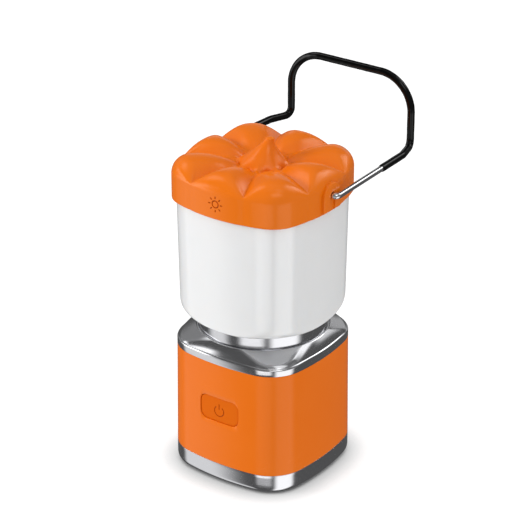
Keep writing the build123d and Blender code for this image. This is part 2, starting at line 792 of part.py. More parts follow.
with BuildPart() as port_cover_anchor:
    anchor_right = hinge_x - 0.05
    with BuildSketch(Plane.XZ.offset(-port_recess_floor)):
        with Locations(((anchor_left + 0.1 + anchor_right) / 2, port_height)):
            Rectangle(anchor_right - anchor_left - 0.1, 5.6)
    extrude(amount=port_recess_floor - port_cover_front)
    with BuildSketch(Plane.XZ.offset(-port_recess_floor)):
        with Locations((anchor_plug_at, port_height)):
            Circle(anchor_plug_radius)
    extrude(amount=1.4)
    with BuildSketch(Plane.XZ.offset(-port_recess_floor + 1.4)):
        with Locations((anchor_plug_at, port_height)):
            Circle(1.7)
    extrude(amount=0.8)
save(port_cover_anchor, "port_cover_anchor")

cell_radius = 9.15
cell_length = 35.0
cell_bottom = 4.5
cell_spread = 9.4  # each cell's distance from the middle
cell_y = -1.0
cell_top = cell_bottom + cell_length
for side_name, side in (("left", -1), ("right", 1)):
    with BuildPart() as battery_cell:
        with BuildSketch(Plane.XY.offset(cell_bottom)):
            with Locations((side * cell_spread, cell_y)):
                Circle(cell_radius)
        extrude(amount=cell_length)
        fillet(battery_cell.edges(), 0.6)
        # crimp groove under the positive end
        with BuildSketch(Plane.XY.offset(cell_top - 3.2)):
            with Locations((side * cell_spread, cell_y)):
                Circle(cell_radius + 1)
                Circle(cell_radius - 0.35, mode=Mode.SUBTRACT)
        extrude(amount=0.9, mode=Mode.SUBTRACT)
    save(battery_cell, f"battery_cell_{side_name}")

strip_thickness = 0.2
strip_places = {"cell_strip_bottom": cell_bottom - strip_thickness, "cell_strip_top": cell_top}
for strip_name, strip_bottom in strip_places.items():
    with BuildPart() as cell_strip:
        with BuildSketch(Plane.XY.offset(strip_bottom)):
            with Locations((0, cell_y)):
                RectangleRounded(2 * cell_spread + 8, 5, 1.2)
                Rectangle(7, 0.6, mode=Mode.SUBTRACT)
        extrude(amount=strip_thickness)
    save(cell_strip, strip_name)

chassis_bottom = cap_floor_top
plate_thickness = 2.0
upper_plate_bottom = 40.0
upper_plate_top = 41.6
chassis_inset = 4.2
cup_depth = 5.0
post_radius = 2.3
with BuildPart() as inner_chassis:
    with BuildSketch(Plane.XY.offset(chassis_bottom)):
        add(base_outline(chassis_inset))
    extrude(amount=plate_thickness)
    with BuildSketch(Plane.XY.offset(upper_plate_bottom)):
        add(base_outline(chassis_inset))
    extrude(amount=upper_plate_top - upper_plate_bottom)
    # cups that hold the two cells at each end
    for cup_bottom in (chassis_bottom + plate_thickness, upper_plate_bottom - cup_depth):
        with BuildSketch(Plane.XY.offset(cup_bottom)):
            with Locations((-cell_spread, cell_y), (cell_spread, cell_y)):
                Circle(cell_radius + 1.1)
            with Locations((-cell_spread, cell_y), (cell_spread, cell_y)):
                Circle(cell_radius + 0.1, mode=Mode.SUBTRACT)
            with Locations((0, cell_y)):
                Rectangle(6, 6, mode=Mode.SUBTRACT)
        extrude(amount=cup_depth)
    with BuildSketch(Plane.XY.offset(chassis_bottom)):
        with GridLocations(2 * post_at, 2 * post_at, 2, 2):
            Circle(post_radius)
    extrude(amount=upper_plate_top - chassis_bottom)
    # cross bars behind the main board and under the charge board
    bar_top = charge_board_top - charge_board_thickness
    with BuildSketch(Plane.XY.offset(bar_top - 3)):
        with Locations((0, post_at)):
            Rectangle(2 * post_at, 3)
    extrude(amount=3)
    with BuildSketch(Plane.XY.offset(button_height - 1.5)):
        with Locations((0, -post_at + 0.25)):
            Rectangle(2 * post_at, 2.5)
    extrude(amount=3)
    with BuildSketch(Plane.XY.offset(board_bottom)):
        with Locations((0, -post_at + 0.25)):
            Rectangle(2 * post_at, 2.5)
    extrude(amount=4)
    # room for the magnet, the leads and the screws
    with BuildSketch(Plane.XY.offset(chassis_bottom)):
        Circle(magnet_radius + 0.1)
    extrude(amount=magnet_height + 0.05, mode=Mode.SUBTRACT)
    with BuildSketch(Plane.XY.offset(upper_plate_bottom)):
        with Locations((0, -17.2)):
            Rectangle(9, 3)
        with Locations((0, cell_y)):
            Rectangle(12, 4)
    extrude(amount=3, mode=Mode.SUBTRACT)
    with BuildSketch(Plane.XY.offset(chassis_bottom)):
        with GridLocations(screw_spacing, screw_spacing, 2, 2):
            Circle(screw_hole)
    extrude(amount=plate_thickness, mode=Mode.SUBTRACT)
    with BuildSketch(Plane.XZ.offset(board_back)):
        with Locations((0, board_bottom + 2)):
            with GridLocations(2 * (board_half - 2), 0, 2, 1):
                Circle(screw_hole)
    extrude(amount=-2.2, mode=Mode.SUBTRACT)
save(inner_chassis, "inner_chassis")

with BuildPart() as chassis_screws:
    # countersunk heads, covered by the rubber pad
    with Locations((0, 0, pad_thickness)):
        with GridLocations(screw_spacing, screw_spacing, 2, 2):
            Cone(sunk_head_radius, screw_radius, sunk_head_height, align=standing)
            Cylinder(screw_radius, plate_thickness + 1, align=standing)
save(chassis_screws, "chassis_screws")

with BuildPart() as board_screws:
    for x in (-board_half + 2, board_half - 2):
        with Locations(Location((x, -board_front, board_bottom + 2), (-90, 0, 0))):
            pan_screw(3.2)
save(board_screws, "board_screws")

# ------------------------------------------------------------------ leads to the light engine
lead_radius = 0.6
lead_turn_height = 44.3
for lead_name, side in (("lead_red", -1), ("lead_black", 1)):
    with BuildPart() as lead:
        board_edge = (side * 2.5, -(board_front + board_back) / 2, board_upper)
        under_neck = (side * 2.5, -(board_front + board_back) / 2, lead_turn_height)
        neck_foot = (side * 1.4, 0, lead_turn_height)
        board_underside = (side * 1.4, 0, board_top)
        with BuildLine() as lead_line:
            FilletPolyline(board_edge, under_neck, neck_foot, board_underside, radius=[4.0, 5.0])
        with BuildSketch(Plane(origin=lead_line.line @ 0, z_dir=lead_line.line % 0)):
            Circle(lead_radius)
        sweep()
    save(lead, lead_name)
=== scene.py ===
"""Looks for the small camping lantern: smooth shells, bail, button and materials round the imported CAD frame.

Lengths in the shape code are millimetres; meshes are scaled to metres when they are made.
"""

import math

import bmesh
import bpy
import numpy as np
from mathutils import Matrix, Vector


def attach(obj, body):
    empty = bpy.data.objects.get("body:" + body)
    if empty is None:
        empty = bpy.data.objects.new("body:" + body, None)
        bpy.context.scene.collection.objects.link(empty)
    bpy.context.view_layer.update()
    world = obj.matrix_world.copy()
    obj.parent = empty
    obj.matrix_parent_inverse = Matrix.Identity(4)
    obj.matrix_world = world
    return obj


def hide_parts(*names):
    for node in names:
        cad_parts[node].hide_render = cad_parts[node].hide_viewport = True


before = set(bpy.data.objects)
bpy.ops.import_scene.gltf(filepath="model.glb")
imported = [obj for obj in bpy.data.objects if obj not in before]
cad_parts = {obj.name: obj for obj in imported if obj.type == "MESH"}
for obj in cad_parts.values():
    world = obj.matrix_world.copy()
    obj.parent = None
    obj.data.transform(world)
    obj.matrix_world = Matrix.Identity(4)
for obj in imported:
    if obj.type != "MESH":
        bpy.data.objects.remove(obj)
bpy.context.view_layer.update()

MM = 0.001
AROUND = 480  # points round a shell; a multiple of 16, so that creases and corners fall on points
TURN = np.arange(AROUND) * 2 * math.pi / AROUND
QUARTER = math.pi / 2
OUTLINE_POINTS = 160  # points round the outline of an inlay or a cutter
MERGE = 0.002  # mm; points nearer to each other than this are joined


# ------------------------------------------------------------------ camera
CAMERA_AZIMUTH = 35.668  # degrees
CAMERA_ELEVATION = 25.588  # degrees
CAMERA_TARGET = (-0.01451, 0.019905, 0.05844)  # metres
CAMERA_DISTANCE = 0.76946  # metres
CAMERA_LENS = 157.4  # mm, for a sensor 36 mm wide


def look_along(azimuth, elevation, target, distance, lens):
    """A camera that looks at target from an azimuth and elevation in degrees."""
    a, e = math.radians(azimuth), math.radians(elevation)
    back = Vector((math.sin(a) * math.cos(e), -math.cos(a) * math.cos(e), math.sin(e)))
    data = bpy.data.cameras.new("camera")
    data.sensor_width = 36
    data.lens = lens
    data.clip_start = 0.01
    data.clip_end = 20
    camera = bpy.data.objects.new("camera", data)
    bpy.context.scene.collection.objects.link(camera)
    camera.location = Vector(target) + back * distance
    camera.rotation_euler = back.to_track_quat("Z", "Y").to_euler()
    bpy.context.scene.camera = camera


look_along(CAMERA_AZIMUTH, CAMERA_ELEVATION, CAMERA_TARGET, CAMERA_DISTANCE, CAMERA_LENS)


# ------------------------------------------------------------------ outlines and grids
def square_radius(half, corner, bow, inset=0.0, turn=TURN):
    """Distance from the middle to a rounded square with bowed sides, for each angle in turn."""
    half, corner, bow = half - inset, corner - inset, bow - inset
    lean = bow - half
    reach = bow - corner
    centre = (math.sqrt(2 * reach**2 - lean**2) - lean) / 2
    half_arc = math.atan2(centre, centre + lean)
    side_end = math.atan2(bow * math.sin(half_arc), bow * math.cos(half_arc) - lean)
    fold = np.abs((turn + QUARTER / 2) % QUARTER - QUARTER / 2)
    side = -lean * np.cos(fold) + np.sqrt(bow**2 - (lean * np.sin(fold)) ** 2)
    away = centre * math.sqrt(2)
    off = QUARTER / 2 - fold
    round_part = away * np.cos(off) + np.sqrt(np.maximum(corner**2 - (away * np.sin(off)) ** 2, 0))
    return np.where(fold <= side_end, side, round_part)


# half width, corner radius and side's bow radius of each rounded square
BASE = (25.0, 13.2, 80.9)
GLOBE = (23.53, 12.5, 80.0)
PAD = (19.5, 9.0, 70.0)
CAP = (25.9, 10.1, 52.3)


def base_radius(inset=0.0):
    return square_radius(*BASE, inset)


def diffuser_radius(inset=0.0):
    return square_radius(*GLOBE, inset)


def pad_radius(inset=0.0):
    return square_radius(*PAD, inset)


def cap_radius(inset=0.0):
    return square_radius(*CAP, inset)


def ring(radius, height):
    """One row of points round the Z axis. Radius and height are numbers or one value per angle."""
    radius = np.broadcast_to(radius, TURN.shape)
    height = np.broadcast_to(height, TURN.shape)
    return np.stack([radius * np.cos(TURN), radius * np.sin(TURN), height], 1)


def grid_faces(rows, columns, wrap_rows):
    """Quads over rows of points. Columns always wrap round, and rows do where wrap_rows is true."""
    faces = []
    for i in range(rows if wrap_rows else rows - 1):
        j = (i + 1) % rows
        for k in range(columns):
            m = (k + 1) % columns
            faces.append((i * columns + k, i * columns + m, j * columns + m, j * columns + k))
    return faces


def facing_front(outline, y):
    """An outline of (across, height) points, upright at a distance y from the middle plane."""
    return np.stack([outline[:, 0], np.full(len(outline), y), outline[:, 1]], 1)


def facing_side(outline, x):
    """The same for an outline that faces sideways, at a distance x from the middle."""
    return np.stack([np.full(len(outline), x), outline[:, 0], outline[:, 1]], 1)


def shell(name, rings, wrap=False):
    """A mesh object from rows of points, in mm. An unwrapped shell gets a middle point at each end."""
    columns = len(rings[0])
    points = np.concatenate(rings)
    faces = grid_faces(len(rings), columns, wrap)
    if not wrap:
        first, last = len(points), len(points) + 1
        points = np.concatenate([points, rings[0].mean(0)[None], rings[-1].mean(0)[None]])
        base = (len(rings) - 1) * columns
        for k in range(columns):
            m = (k + 1) % columns
            faces.append((m, k, first))
            faces.append((base + k, base + m, last))
    mesh = bpy.data.meshes.new(name)
    mesh.from_pydata((points * MM).tolist(), [], faces)
    mesh.update()
    piece = bpy.data.objects.new(name, mesh)
    bpy.context.scene.collection.objects.link(piece)
    face_outwards(piece)
    return piece


def face_outwards(piece):
    """Make the normals of a closed mesh point outwards."""
    work = bmesh.new()
    work.from_mesh(piece.data)
    if work.calc_volume(signed=True) < 0:
        bmesh.ops.reverse_faces(work, faces=work.faces)
    work.to_mesh(piece.data)
    work.free()


def boolean(piece, tool, operation="DIFFERENCE"):
    """Cut tool from piece, or join it, and remove tool."""
    change = piece.modifiers.new("change", "BOOLEAN")
    change.object = tool
    change.operation = operation
    change.solver = "MANIFOLD"
    bpy.context.view_layer.update()
    graph = bpy.context.evaluated_depsgraph_get()
    result = bpy.data.meshes.new_from_object(piece.evaluated_get(graph))
    piece.modifiers.clear()
    old = piece.data
    piece.data = result
    bpy.data.meshes.remove(old)
    bpy.data.objects.remove(tool)


def soften(piece, sharp_degrees=32):
    """Smooth shading with hard edges where faces meet at more than the angle given."""
    limit = math.radians(sharp_degrees)
    work = bmesh.new()
    work.from_mesh(piece.data)
    bmesh.ops.remove_doubles(work, verts=work.verts, dist=MERGE * MM)
    bmesh.ops.dissolve_degenerate(work, edges=work.edges, dist=MERGE * MM)
    for face in work.faces:
        face.smooth = True
    for edge in work.edges:
        if len(edge.link_faces) == 2:
            edge.smooth = edge.calc_face_angle(0) < limit
    work.to_mesh(piece.data)
    work.free()


def rounded_rectangle(width, height, corner, offset=0.0):
    """Outline points (u, v) of a rounded rectangle, grown by offset all round."""
    half_u, half_v, corner = width / 2 + offset, height / 2 + offset, corner + offset
    points = []
    for turn, (sign_u, sign_v) in enumerate(((1, 1), (-1, 1), (-1, -1), (1, -1))):
        for angle in np.linspace(turn * QUARTER, (turn + 1) * QUARTER, 12):
            u = sign_u * (half_u - corner) + corner * math.cos(angle)
            v = sign_v * (half_v - corner) + corner * math.sin(angle)
            points.append((u, v))
    return resample(np.array(points), OUTLINE_POINTS)


def resample(points, count):
    """A closed outline with evenly spaced points."""
    closed = np.concatenate([points, points[:1]])
    steps = np.linalg.norm(np.diff(closed, axis=0), axis=1)
    along = np.concatenate([[0], np.cumsum(steps)])
    where = np.linspace(0, along[-1], count, endpoint=False)
    return np.stack([np.interp(where, along, closed[:, axis]) for axis in range(closed.shape[1])], 1)


def smooth_value(place, places, values, slopes):
    """A value between knots, on a curve that passes each knot at the slope given for it."""
    k = min(int(np.searchsorted(places, place, side="right")) - 1, len(places) - 2)
    span = places[k + 1] - places[k]
    t = (place - places[k]) / span
    start = (1 + 2 * t) * (1 - t) ** 2 * values[k] + t * (1 - t) ** 2 * span * slopes[k]
    return start + t**2 * (3 - 2 * t) * values[k + 1] + t**2 * (t - 1) * span * slopes[k + 1]


def soft_minimum(first, second, width):
    """The smaller of two values, with a rounded change-over of the width given."""
    share = np.clip(0.5 + (second - first) / (2 * width), 0, 1)
    return second * (1 - share) + first * share - width * share * (1 - share)


def dress(piece, body, slot, material, *nodes, sharp=32):
    """Finish a piece: shading, material, the body it rides on and the nodes it stands for. Its slot is not
    used.
    """
    soften(piece, sharp)
    piece.data.materials.clear()
    piece.data.materials.append(material)
    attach(piece, body)
    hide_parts(*nodes)


# ------------------------------------------------------------------ materials
FIRST_COLOUR, SECOND_COLOUR, MIXED_COLOUR = 6, 7, 2  # sockets of a Mix node that mixes colours
SHEEN, SHEEN_ROUGHNESS = 0.5, 0.3  # weight and spread of the satin skin's glow along its edges
GRAIN_BUMP = 0.35
GRAIN_GLOSS = 0.02  # how much the grain changes the roughness, up and down
SKIN_DEPTH = 2.5  # mm that light goes under a translucent skin


def new_material(name):
    """A material with a principled shader linked to its output."""
    material = bpy.data.materials.new(name)
    material.use_nodes = True
    tree = material.node_tree
    tree.nodes.clear()
    output = tree.nodes.new("ShaderNodeOutputMaterial")
    shader = tree.nodes.new("ShaderNodeBsdfPrincipled")
    tree.links.new(shader.outputs["BSDF"], output.inputs["Surface"])
    return material, tree, shader


def object_coordinates(tree, scale=(1, 1, 1)):
    """Object coordinates in metres, stretched by scale."""
    coordinates = tree.nodes.new("ShaderNodeTexCoord")
    mapping = tree.nodes.new("ShaderNodeMapping")
    mapping.inputs["Scale"].default_value = scale
    tree.links.new(coordinates.outputs["Object"], mapping.inputs["Vector"])
    return mapping.outputs["Vector"]


def noise(tree, vector, scale, detail):
    """Noise from 0 to 1, with scale waves in a metre."""
    node = tree.nodes.new("ShaderNodeTexNoise")
    node.inputs["Scale"].default_value = scale
    node.inputs["Detail"].default_value = detail
    node.inputs["Roughness"].default_value = 0.55
    tree.links.new(vector, node.inputs["Vector"])
    return node.outputs["Fac"]


def spread(tree, value, low, high, from_low=0.3, from_high=0.7):
    """A value mapped to the range from low to high; noise mostly lies between 0.3 and 0.7."""
    node = tree.nodes.new("ShaderNodeMapRange")
    node.inputs["From Min"].default_value = from_low
    node.inputs["From Max"].default_value = from_high
    node.inputs["To Min"].default_value = low
    node.inputs["To Max"].default_value = high
    tree.links.new(value, node.inputs["Value"])
    return node.outputs["Result"]


def blend_colours(tree, factor, first, second):
    """A mix of two colours."""
    node = tree.nodes.new("ShaderNodeMix")
    node.data_type = "RGBA"
    tree.links.new(factor, node.inputs["Factor"])
    node.inputs[FIRST_COLOUR].default_value = (*first, 1)
    node.inputs[SECOND_COLOUR].default_value = (*second, 1)
    return node.outputs[MIXED_COLOUR]


def bump(tree, shader, height, distance):
    """Relief of the grain, distance metres deep."""
    node = tree.nodes.new("ShaderNodeBump")
    node.inputs["Strength"].default_value = GRAIN_BUMP
    node.inputs["Distance"].default_value = distance
    tree.links.new(height, node.inputs["Height"])
    tree.links.new(node.outputs["Normal"], shader.inputs["Normal"])


def linear(hex_colour):
    """A linear colour from an sRGB hex value."""
    parts = [int(hex_colour[i : i + 2], 16) / 255 for i in (0, 2, 4)]
    return tuple(p / 12.92 if p <= 0.04045 else ((p + 0.055) / 1.055) ** 2.4 for p in parts)


def surface(name, dark, light, roughness, grain, depth, metallic=0.0, stretch=(1, 1, 1), coat=0.0,
            scattering=0.0, specular=0.5, tint=(1, 1, 1), sheen=None):
    """A procedural surface: slow colour mottling, a fine grain in the bump, and roughness that follows both.

    Grain is its number of waves in a metre and depth its relief in mm. Sheen is the colour of a satin skin's
    faint glow along its edges.
    """
    material, tree, shader = new_material(name)
    even = object_coordinates(tree)
    along = object_coordinates(tree, stretch)
    slow = noise(tree, even, scale=60, detail=4)
    fine = noise(tree, along, grain, detail=2)
    tree.links.new(blend_colours(tree, slow, linear(dark), linear(light)), shader.inputs["Base Color"])
    worn = tree.nodes.new("ShaderNodeMath")
    worn.operation = "ADD"
    tree.links.new(spread(tree, slow, roughness[0], roughness[1]), worn.inputs[0])
    tree.links.new(spread(tree, fine, -GRAIN_GLOSS, GRAIN_GLOSS), worn.inputs[1])
    tree.links.new(worn.outputs[0], shader.inputs["Roughness"])
    bump(tree, shader, fine, depth * MM)
    shader.inputs["Metallic"].default_value = metallic
    shader.inputs["Specular IOR Level"].default_value = specular
    shader.inputs["Specular Tint"].default_value = (*tint, 1)
    shader.inputs["Coat Weight"].default_value = coat
    shader.inputs["Coat Roughness"].default_value = 0.1
    if sheen:
        shader.inputs["Sheen Weight"].default_value = SHEEN
        shader.inputs["Sheen Roughness"].default_value = SHEEN_ROUGHNESS
        shader.inputs["Sheen Tint"].default_value = (*linear(sheen), 1)
    if scattering:
        shader.inputs["Subsurface Weight"].default_value = scattering
        shader.inputs["Subsurface Radius"].default_value = (1.0, 0.9, 0.8)
        shader.inputs["Subsurface Scale"].default_value = SKIN_DEPTH * MM
    return material


WARM = (1.0, 0.97, 0.75)  # tint of the orange surfaces' reflections
painted_orange = surface("painted_orange", "E56C0B", "EA720E", (0.20, 0.27), grain=5200, depth=0.003,
                         specular=0.3, tint=WARM)
cap_orange = surface("cap_orange", "E26C08", "E7730A", (0.2, 0.26), grain=3200, depth=0.002, specular=0.36,
                     tint=WARM, sheen="FF8A1E")
key_orange = surface("key_orange", "D8620A", "DD670C", (0.45, 0.55), grain=3000, depth=0.008, specular=0.05)
# painted shade: a darker orange for the faces inside engraved marks, standing in for the shade in their cuts
cut_shade_orange = surface("cut_shade_orange", "A8480A", "B4500C", (0.45, 0.55), grain=3000, depth=0.008,
                          specular=0.1)
polished = surface("polished_metal", "C4C5C8", "CFCFD2", (0.10, 0.17), grain=900, depth=0.003, metallic=1.0,
                   stretch=(0.4, 0.4, 6))
bright_wire = surface("bright_wire", "C8C8CA", "DCDCDE", (0.10, 0.18), grain=1500, depth=0.003, metallic=1.0)
gloss_black = surface("gloss_black", "020202", "050505", (0.08, 0.12), grain=1800, depth=0.002, specular=0.2)
milky = surface("milky_diffuser", "E6E6E6", "EBEBEB", (0.14, 0.2), grain=2600, depth=0.002, scattering=0.4,
                specular=0.95)
black_rubber = surface("soft_black_rubber", "111112", "1A1A1B", (0.55, 0.7), grain=3500, depth=0.02)
orange_rubber = surface("orange_rubber", "D5640C", "DE6C10", (0.5, 0.62), grain=3200, depth=0.015)
white_plastic = surface("white_plastic", "E2E1DD", "EDECE8", (0.35, 0.5), grain=2600, depth=0.008)
black_plastic = surface("black_plastic", "141415", "1D1D1F", (0.4, 0.55), grain=2800, depth=0.012)
bare_aluminium = surface("bare_aluminium", "A9ABAE", "B8BABD", (0.3, 0.42), grain=1600, depth=0.006,
                         metallic=1.0, stretch=(1, 1, 8))
white_mask = surface("white_mask", "E9EAEA", "F1F2F2", (0.3, 0.4), grain=3000, depth=0.004, coat=0.3)
green_board = surface("green_board", "0D4A24", "11592C", (0.28, 0.4), grain=2400, depth=0.006, coat=0.4)
black_chip = surface("black_chip", "18181A", "212124", (0.45, 0.6), grain=4200, depth=0.01)
led_yellow = surface("led_yellow", "E8C93E", "F0D557", (0.3, 0.4), grain=2600, depth=0.006, coat=0.5)
cell_wrap = surface("cell_wrap", "1C4E8C", "235A9C", (0.22, 0.3), grain=1800, depth=0.004, coat=0.6)
nickel = surface("nickel", "B9B5AC", "C9C5BC", (0.22, 0.32), grain=1200, depth=0.004, metallic=1.0)
screw_steel = surface("screw_steel", "8E9095", "A6A8AC", (0.24, 0.36), grain=1600, depth=0.005, metallic=1.0)
red_wire = surface("red_wire", "A81310", "BC1A15", (0.35, 0.45), grain=2600, depth=0.008)
black_wire = surface("black_wire", "0D0D0E", "171718", (0.35, 0.45), grain=2600, depth=0.008)

SLOT_MATERIALS = {
    "orange_shell": painted_orange,
    "orange_cap": cap_orange,
    "orange_key": key_orange,
    "polished_metal": polished,
    "bail_steel": bright_wire,
    "bail_rubber": gloss_black,
    "diffuser_white": milky,
    "black_rubber": black_rubber,
    "orange_rubber": orange_rubber,
    "white_plastic": white_plastic,
    "black_plastic": black_plastic,
    "bare_aluminium": bare_aluminium,
    "white_mask": white_mask,
    "green_board": green_board,
    "black_chip": black_chip,
    "led_yellow": led_yellow,
    "cell_wrap": cell_wrap,
    "nickel": nickel,
    "screw_steel": screw_steel,
    "magnet_nickel": nickel,
    "red_wire": red_wire,
    "black_wire": black_wire,
}

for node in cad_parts.values():
    for place in node.material_slots:
        slot_name = place.material.name.split(".")[0]
        place.material = SLOT_MATERIALS[slot_name]


def darken_cut(piece, inside):
    """Give the faces of an engraved mark a darker orange, painted shade in the cut; inside says whether a
    point in mm is in it.
    """
    piece.data.materials.append(cut_shade_orange)
    for face in piece.data.polygons:
        if face.normal.y < 0 and inside(*(face.center / MM)):
            face.material_index = 1


# ------------------------------------------------------------------ foot, bottom band and sleeve
def arc_steps(count):
    """Shares from 0 to 1 along a quarter arc: (1 - cos, sin) pairs."""
    angles = np.linspace(0, QUARTER, count)
    return list(zip(1 - np.cos(angles), np.sin(angles)))


FOOT = 0.3
BAND_FLOOR = 2.3  # top face of the bottom band's floor
BAND_TOP = 7.0
BAND_ROUND = 2.2
BAND_EDGE = 0.02  # rounding of the bottom band's top edge, which meets the sleeve
EDGE = 0.06  # rounding of the sleeve's and the rim's edges
SEAM = 0.03  # gap above and below the sleeve
SLEEVE_TOP = 43.2
SLEEVE_WALL = 2.0
DRAW_IN = 0.4  # how far the sleeve's sides have come in at its top
LIP, LIP_IN = 2.1, 3.5  # insets of the outer and inner face of the lips that reach into the sleeve
LIP_HEIGHT = 3.0
PAD_SEAT = 1.2  # roof of the recess for the foot pad
PAD_GAP = 0.05

pad_wall = pad_radius(-PAD_GAP)
rings = [ring(pad_radius(15), PAD_SEAT), ring(pad_wall, PAD_SEAT), ring(pad_wall, FOOT)]
rings += [ring(base_radius(inset), FOOT) for inset in (4.0, 3.0)]
for inward, up in arc_steps(14):
    rings.append(ring(base_radius(BAND_ROUND * (1 - up)), FOOT + BAND_ROUND * inward))
rings += [ring(base_radius(), height) for height in (3.6, 4.8, 6.0)]
for inward, up in arc_steps(5):
    rings.append(ring(base_radius(BAND_EDGE * inward), BAND_TOP - BAND_EDGE * (1 - up)))
rings += [ring(base_radius(LIP), BAND_TOP), ring(base_radius(LIP), BAND_TOP + LIP_HEIGHT)]
rings += [ring(base_radius(LIP_IN), BAND_TOP + LIP_HEIGHT), ring(base_radius(LIP_IN), BAND_FLOOR)]
rings.append(ring(base_radius(20), BAND_FLOOR))
bottom_band = shell("bottom_band", rings)
dress(bottom_band, "housing", "polished_metal", polished, "bottom_cap")


def drawn_in(height):
    """How far the sleeve is inside the base's outline at a height."""
    return DRAW_IN * (height - BAND_TOP) / (SLEEVE_TOP - BAND_TOP)


def sleeve_radius(height, inset=0.0):
    return base_radius(inset + drawn_in(height))


def front_surface(u, v, inset=0.0):
    """Distance of the sleeve's face from the middle plane, at a place across and a height on that face."""
    half, _, bow = BASE
    return np.sqrt((bow - inset - drawn_in(v)) ** 2 - u**2) - (bow - half)


def inlay(name, outline, rows, side=-1, middle=()):
    """A closed piece that follows the sleeve's face, on side -1, the front, or 1, the back.

    Each row is (growth of the outline, depth under the face). Middle lists the sizes of the smaller copies of
    the last row, which close the piece.
    """
    layers = [(outline(growth), depth) for growth, depth in rows]
    last, last_depth = layers[-1]
    centre = last.mean(0)
    layers += [(centre + (last - centre) * share, last_depth) for share in middle]
    rings = []
    for points, depth in layers:
        u, v = points[:, 0], points[:, 1]
        rings.append(np.stack([u * -side, side * (front_surface(u, v) - depth), v], 1))
    return shell(name, rings)


BUTTON = (15.0, 8.6, 2.5)  # width, height and corner radius
BUTTON_HEIGHT = 26.7
BUTTON_INSET = 0.35
FLANGE = (19.0, 12.4, 1.0)  # seat of the key's flange behind the window
FLANGE_BACK, FLANGE_FRONT = -19.5, -22.55
PORT_HEIGHT = 22.0


def button_outline(growth):
    return rounded_rectangle(*BUTTON, growth) + np.array((0, BUTTON_HEIGHT))


def port_outline(left, right, half_height, corner):
    """An outline function for inlay, at the charging port's height."""

    def outline(growth):
        shape = rounded_rectangle(right - left, 2 * half_height, corner, growth)
        return shape + np.array(((left + right) / 2, PORT_HEIGHT))

    return outline


rings = []
for inward, up in arc_steps(5):
    rings.append(ring(sleeve_radius(BAND_TOP, EDGE * (1 - up)), BAND_TOP + SEAM + EDGE * inward))
for height in np.linspace(BAND_TOP + 1, SLEEVE_TOP - 1, 12):
    rings.append(ring(sleeve_radius(height), height))
for inward, up in arc_steps(5):
    rings.append(ring(sleeve_radius(SLEEVE_TOP, EDGE * inward), SLEEVE_TOP - SEAM - EDGE * (1 - up)))
rings.append(ring(sleeve_radius(SLEEVE_TOP, SLEEVE_WALL), SLEEVE_TOP - SEAM))
rings.append(ring(sleeve_radius(BAND_TOP, SLEEVE_WALL), BAND_TOP + SEAM))
sleeve = shell("painted_sleeve", rings, wrap=True)

# the cuts in the sleeve, each with rounded edges: rows of (growth of the outline, depth under the face)
window_rows = ((0.36, -1.0), (0.36, -0.06), (0.24, 0.0), (0.14, 0.06), (0.08, 0.15), (0.06, 0.3), (0.06, 3.5))
boolean(sleeve, inlay("window", button_outline, window_rows))
flange = rounded_rectangle(*FLANGE) + np.array((0, BUTTON_HEIGHT))
boolean(sleeve, shell("flange_seat", [facing_front(flange, y) for y in (FLANGE_FRONT, FLANGE_BACK)]))
recess_rows = ((0.3, -1.0), (0.3, -0.06), (0.2, 0.0), (0.1, 0.07), (0.02, 0.2), (0.0, 0.4), (0.0, 1.75))
boolean(sleeve, inlay("recess", port_outline(-7.45, 9.7, 4.15, 1.6), recess_rows, side=1))
nick_rows = ((0.25, -1.0), (0.25, -0.06), (0.1, 0.05), (0.0, 0.3), (-0.2, 0.9), (-0.7, 1.25))
boolean(sleeve, inlay("nick", port_outline(-9.3, -4.9, 2.2, 2.19), nick_rows, side=1))
socket_rows = ((0.0, 1.0), (0.0, 5.0))
boolean(sleeve, inlay("socket_window", port_outline(-4.7, 4.7, 1.85, 1.4), socket_rows, side=1))
dress(sleeve, "housing", "orange_shell", painted_orange, "body_sleeve")

# ------------------------------------------------------------------ button
KEY_BACK = 2.2  # depth of the key's back under the sleeve's face
KEY_ROUND = 0.3
KEY_CLEAR = -26.0  # in front of the key's face
key_rows = [(0.0, KEY_BACK), (0.0, BUTTON_INSET + KEY_ROUND + 0.05)]
for inward, up in arc_steps(6):
    key_rows.append((-KEY_ROUND * inward, BUTTON_INSET + KEY_ROUND * (1 - up)))
INWARD = np.linspace(0.9, 0.1, 9)  # sizes of the smaller outlines that close a face
key = inlay("push_key", button_outline, key_rows, middle=INWARD)


def front_cutter(name, outline, floor_y):
    """A straight cutter from in front of the key's face down to a floor."""
    return shell(name, [facing_front(outline, y) for y in (KEY_CLEAR, floor_y)])


def band_outline(outer, inner, start, end, centre):
    """Outline of part of a ring, with angles in degrees counted from straight up."""
    angles = np.radians(np.linspace(start, end, 48))
    outside = np.stack([outer * np.sin(angles), outer * np.cos(angles)], 1)
    inside = np.stack([inner * np.sin(angles[::-1]), inner * np.cos(angles[::-1])], 1)
    return np.concatenate([outside, inside]) + np.array(centre)


SYMBOL = (0, 26.3)
SYMBOL_RING = (2.0, 1.66)  # outer and inner radius of the on-off symbol's ring
SYMBOL_GAP = 38  # degrees that the ring is open, each side of its bar
SYMBOL_BAR = (0.34, 2.1, 0.16)  # width, height and corner radius
SYMBOL_BAR_UP = 1.55  # height of the bar's middle over the ring's
SYMBOL_DEPTH = 0.22
SYMBOL_REACH = 3.6  # the whole symbol lies within this distance of its middle
symbol_floor = -(BASE[0] - BUTTON_INSET - DRAW_IN / 2 - SYMBOL_DEPTH)
symbol_ring = band_outline(*SYMBOL_RING, SYMBOL_GAP, 360 - SYMBOL_GAP, SYMBOL)
boolean(key, front_cutter("symbol_ring", symbol_ring, symbol_floor))
symbol_bar = rounded_rectangle(*SYMBOL_BAR) + np.array((SYMBOL[0], SYMBOL[1] + SYMBOL_BAR_UP))
boolean(key, front_cutter("symbol_bar", symbol_bar, symbol_floor))
dress(key, "button", "orange_key", key_orange, "button_key")


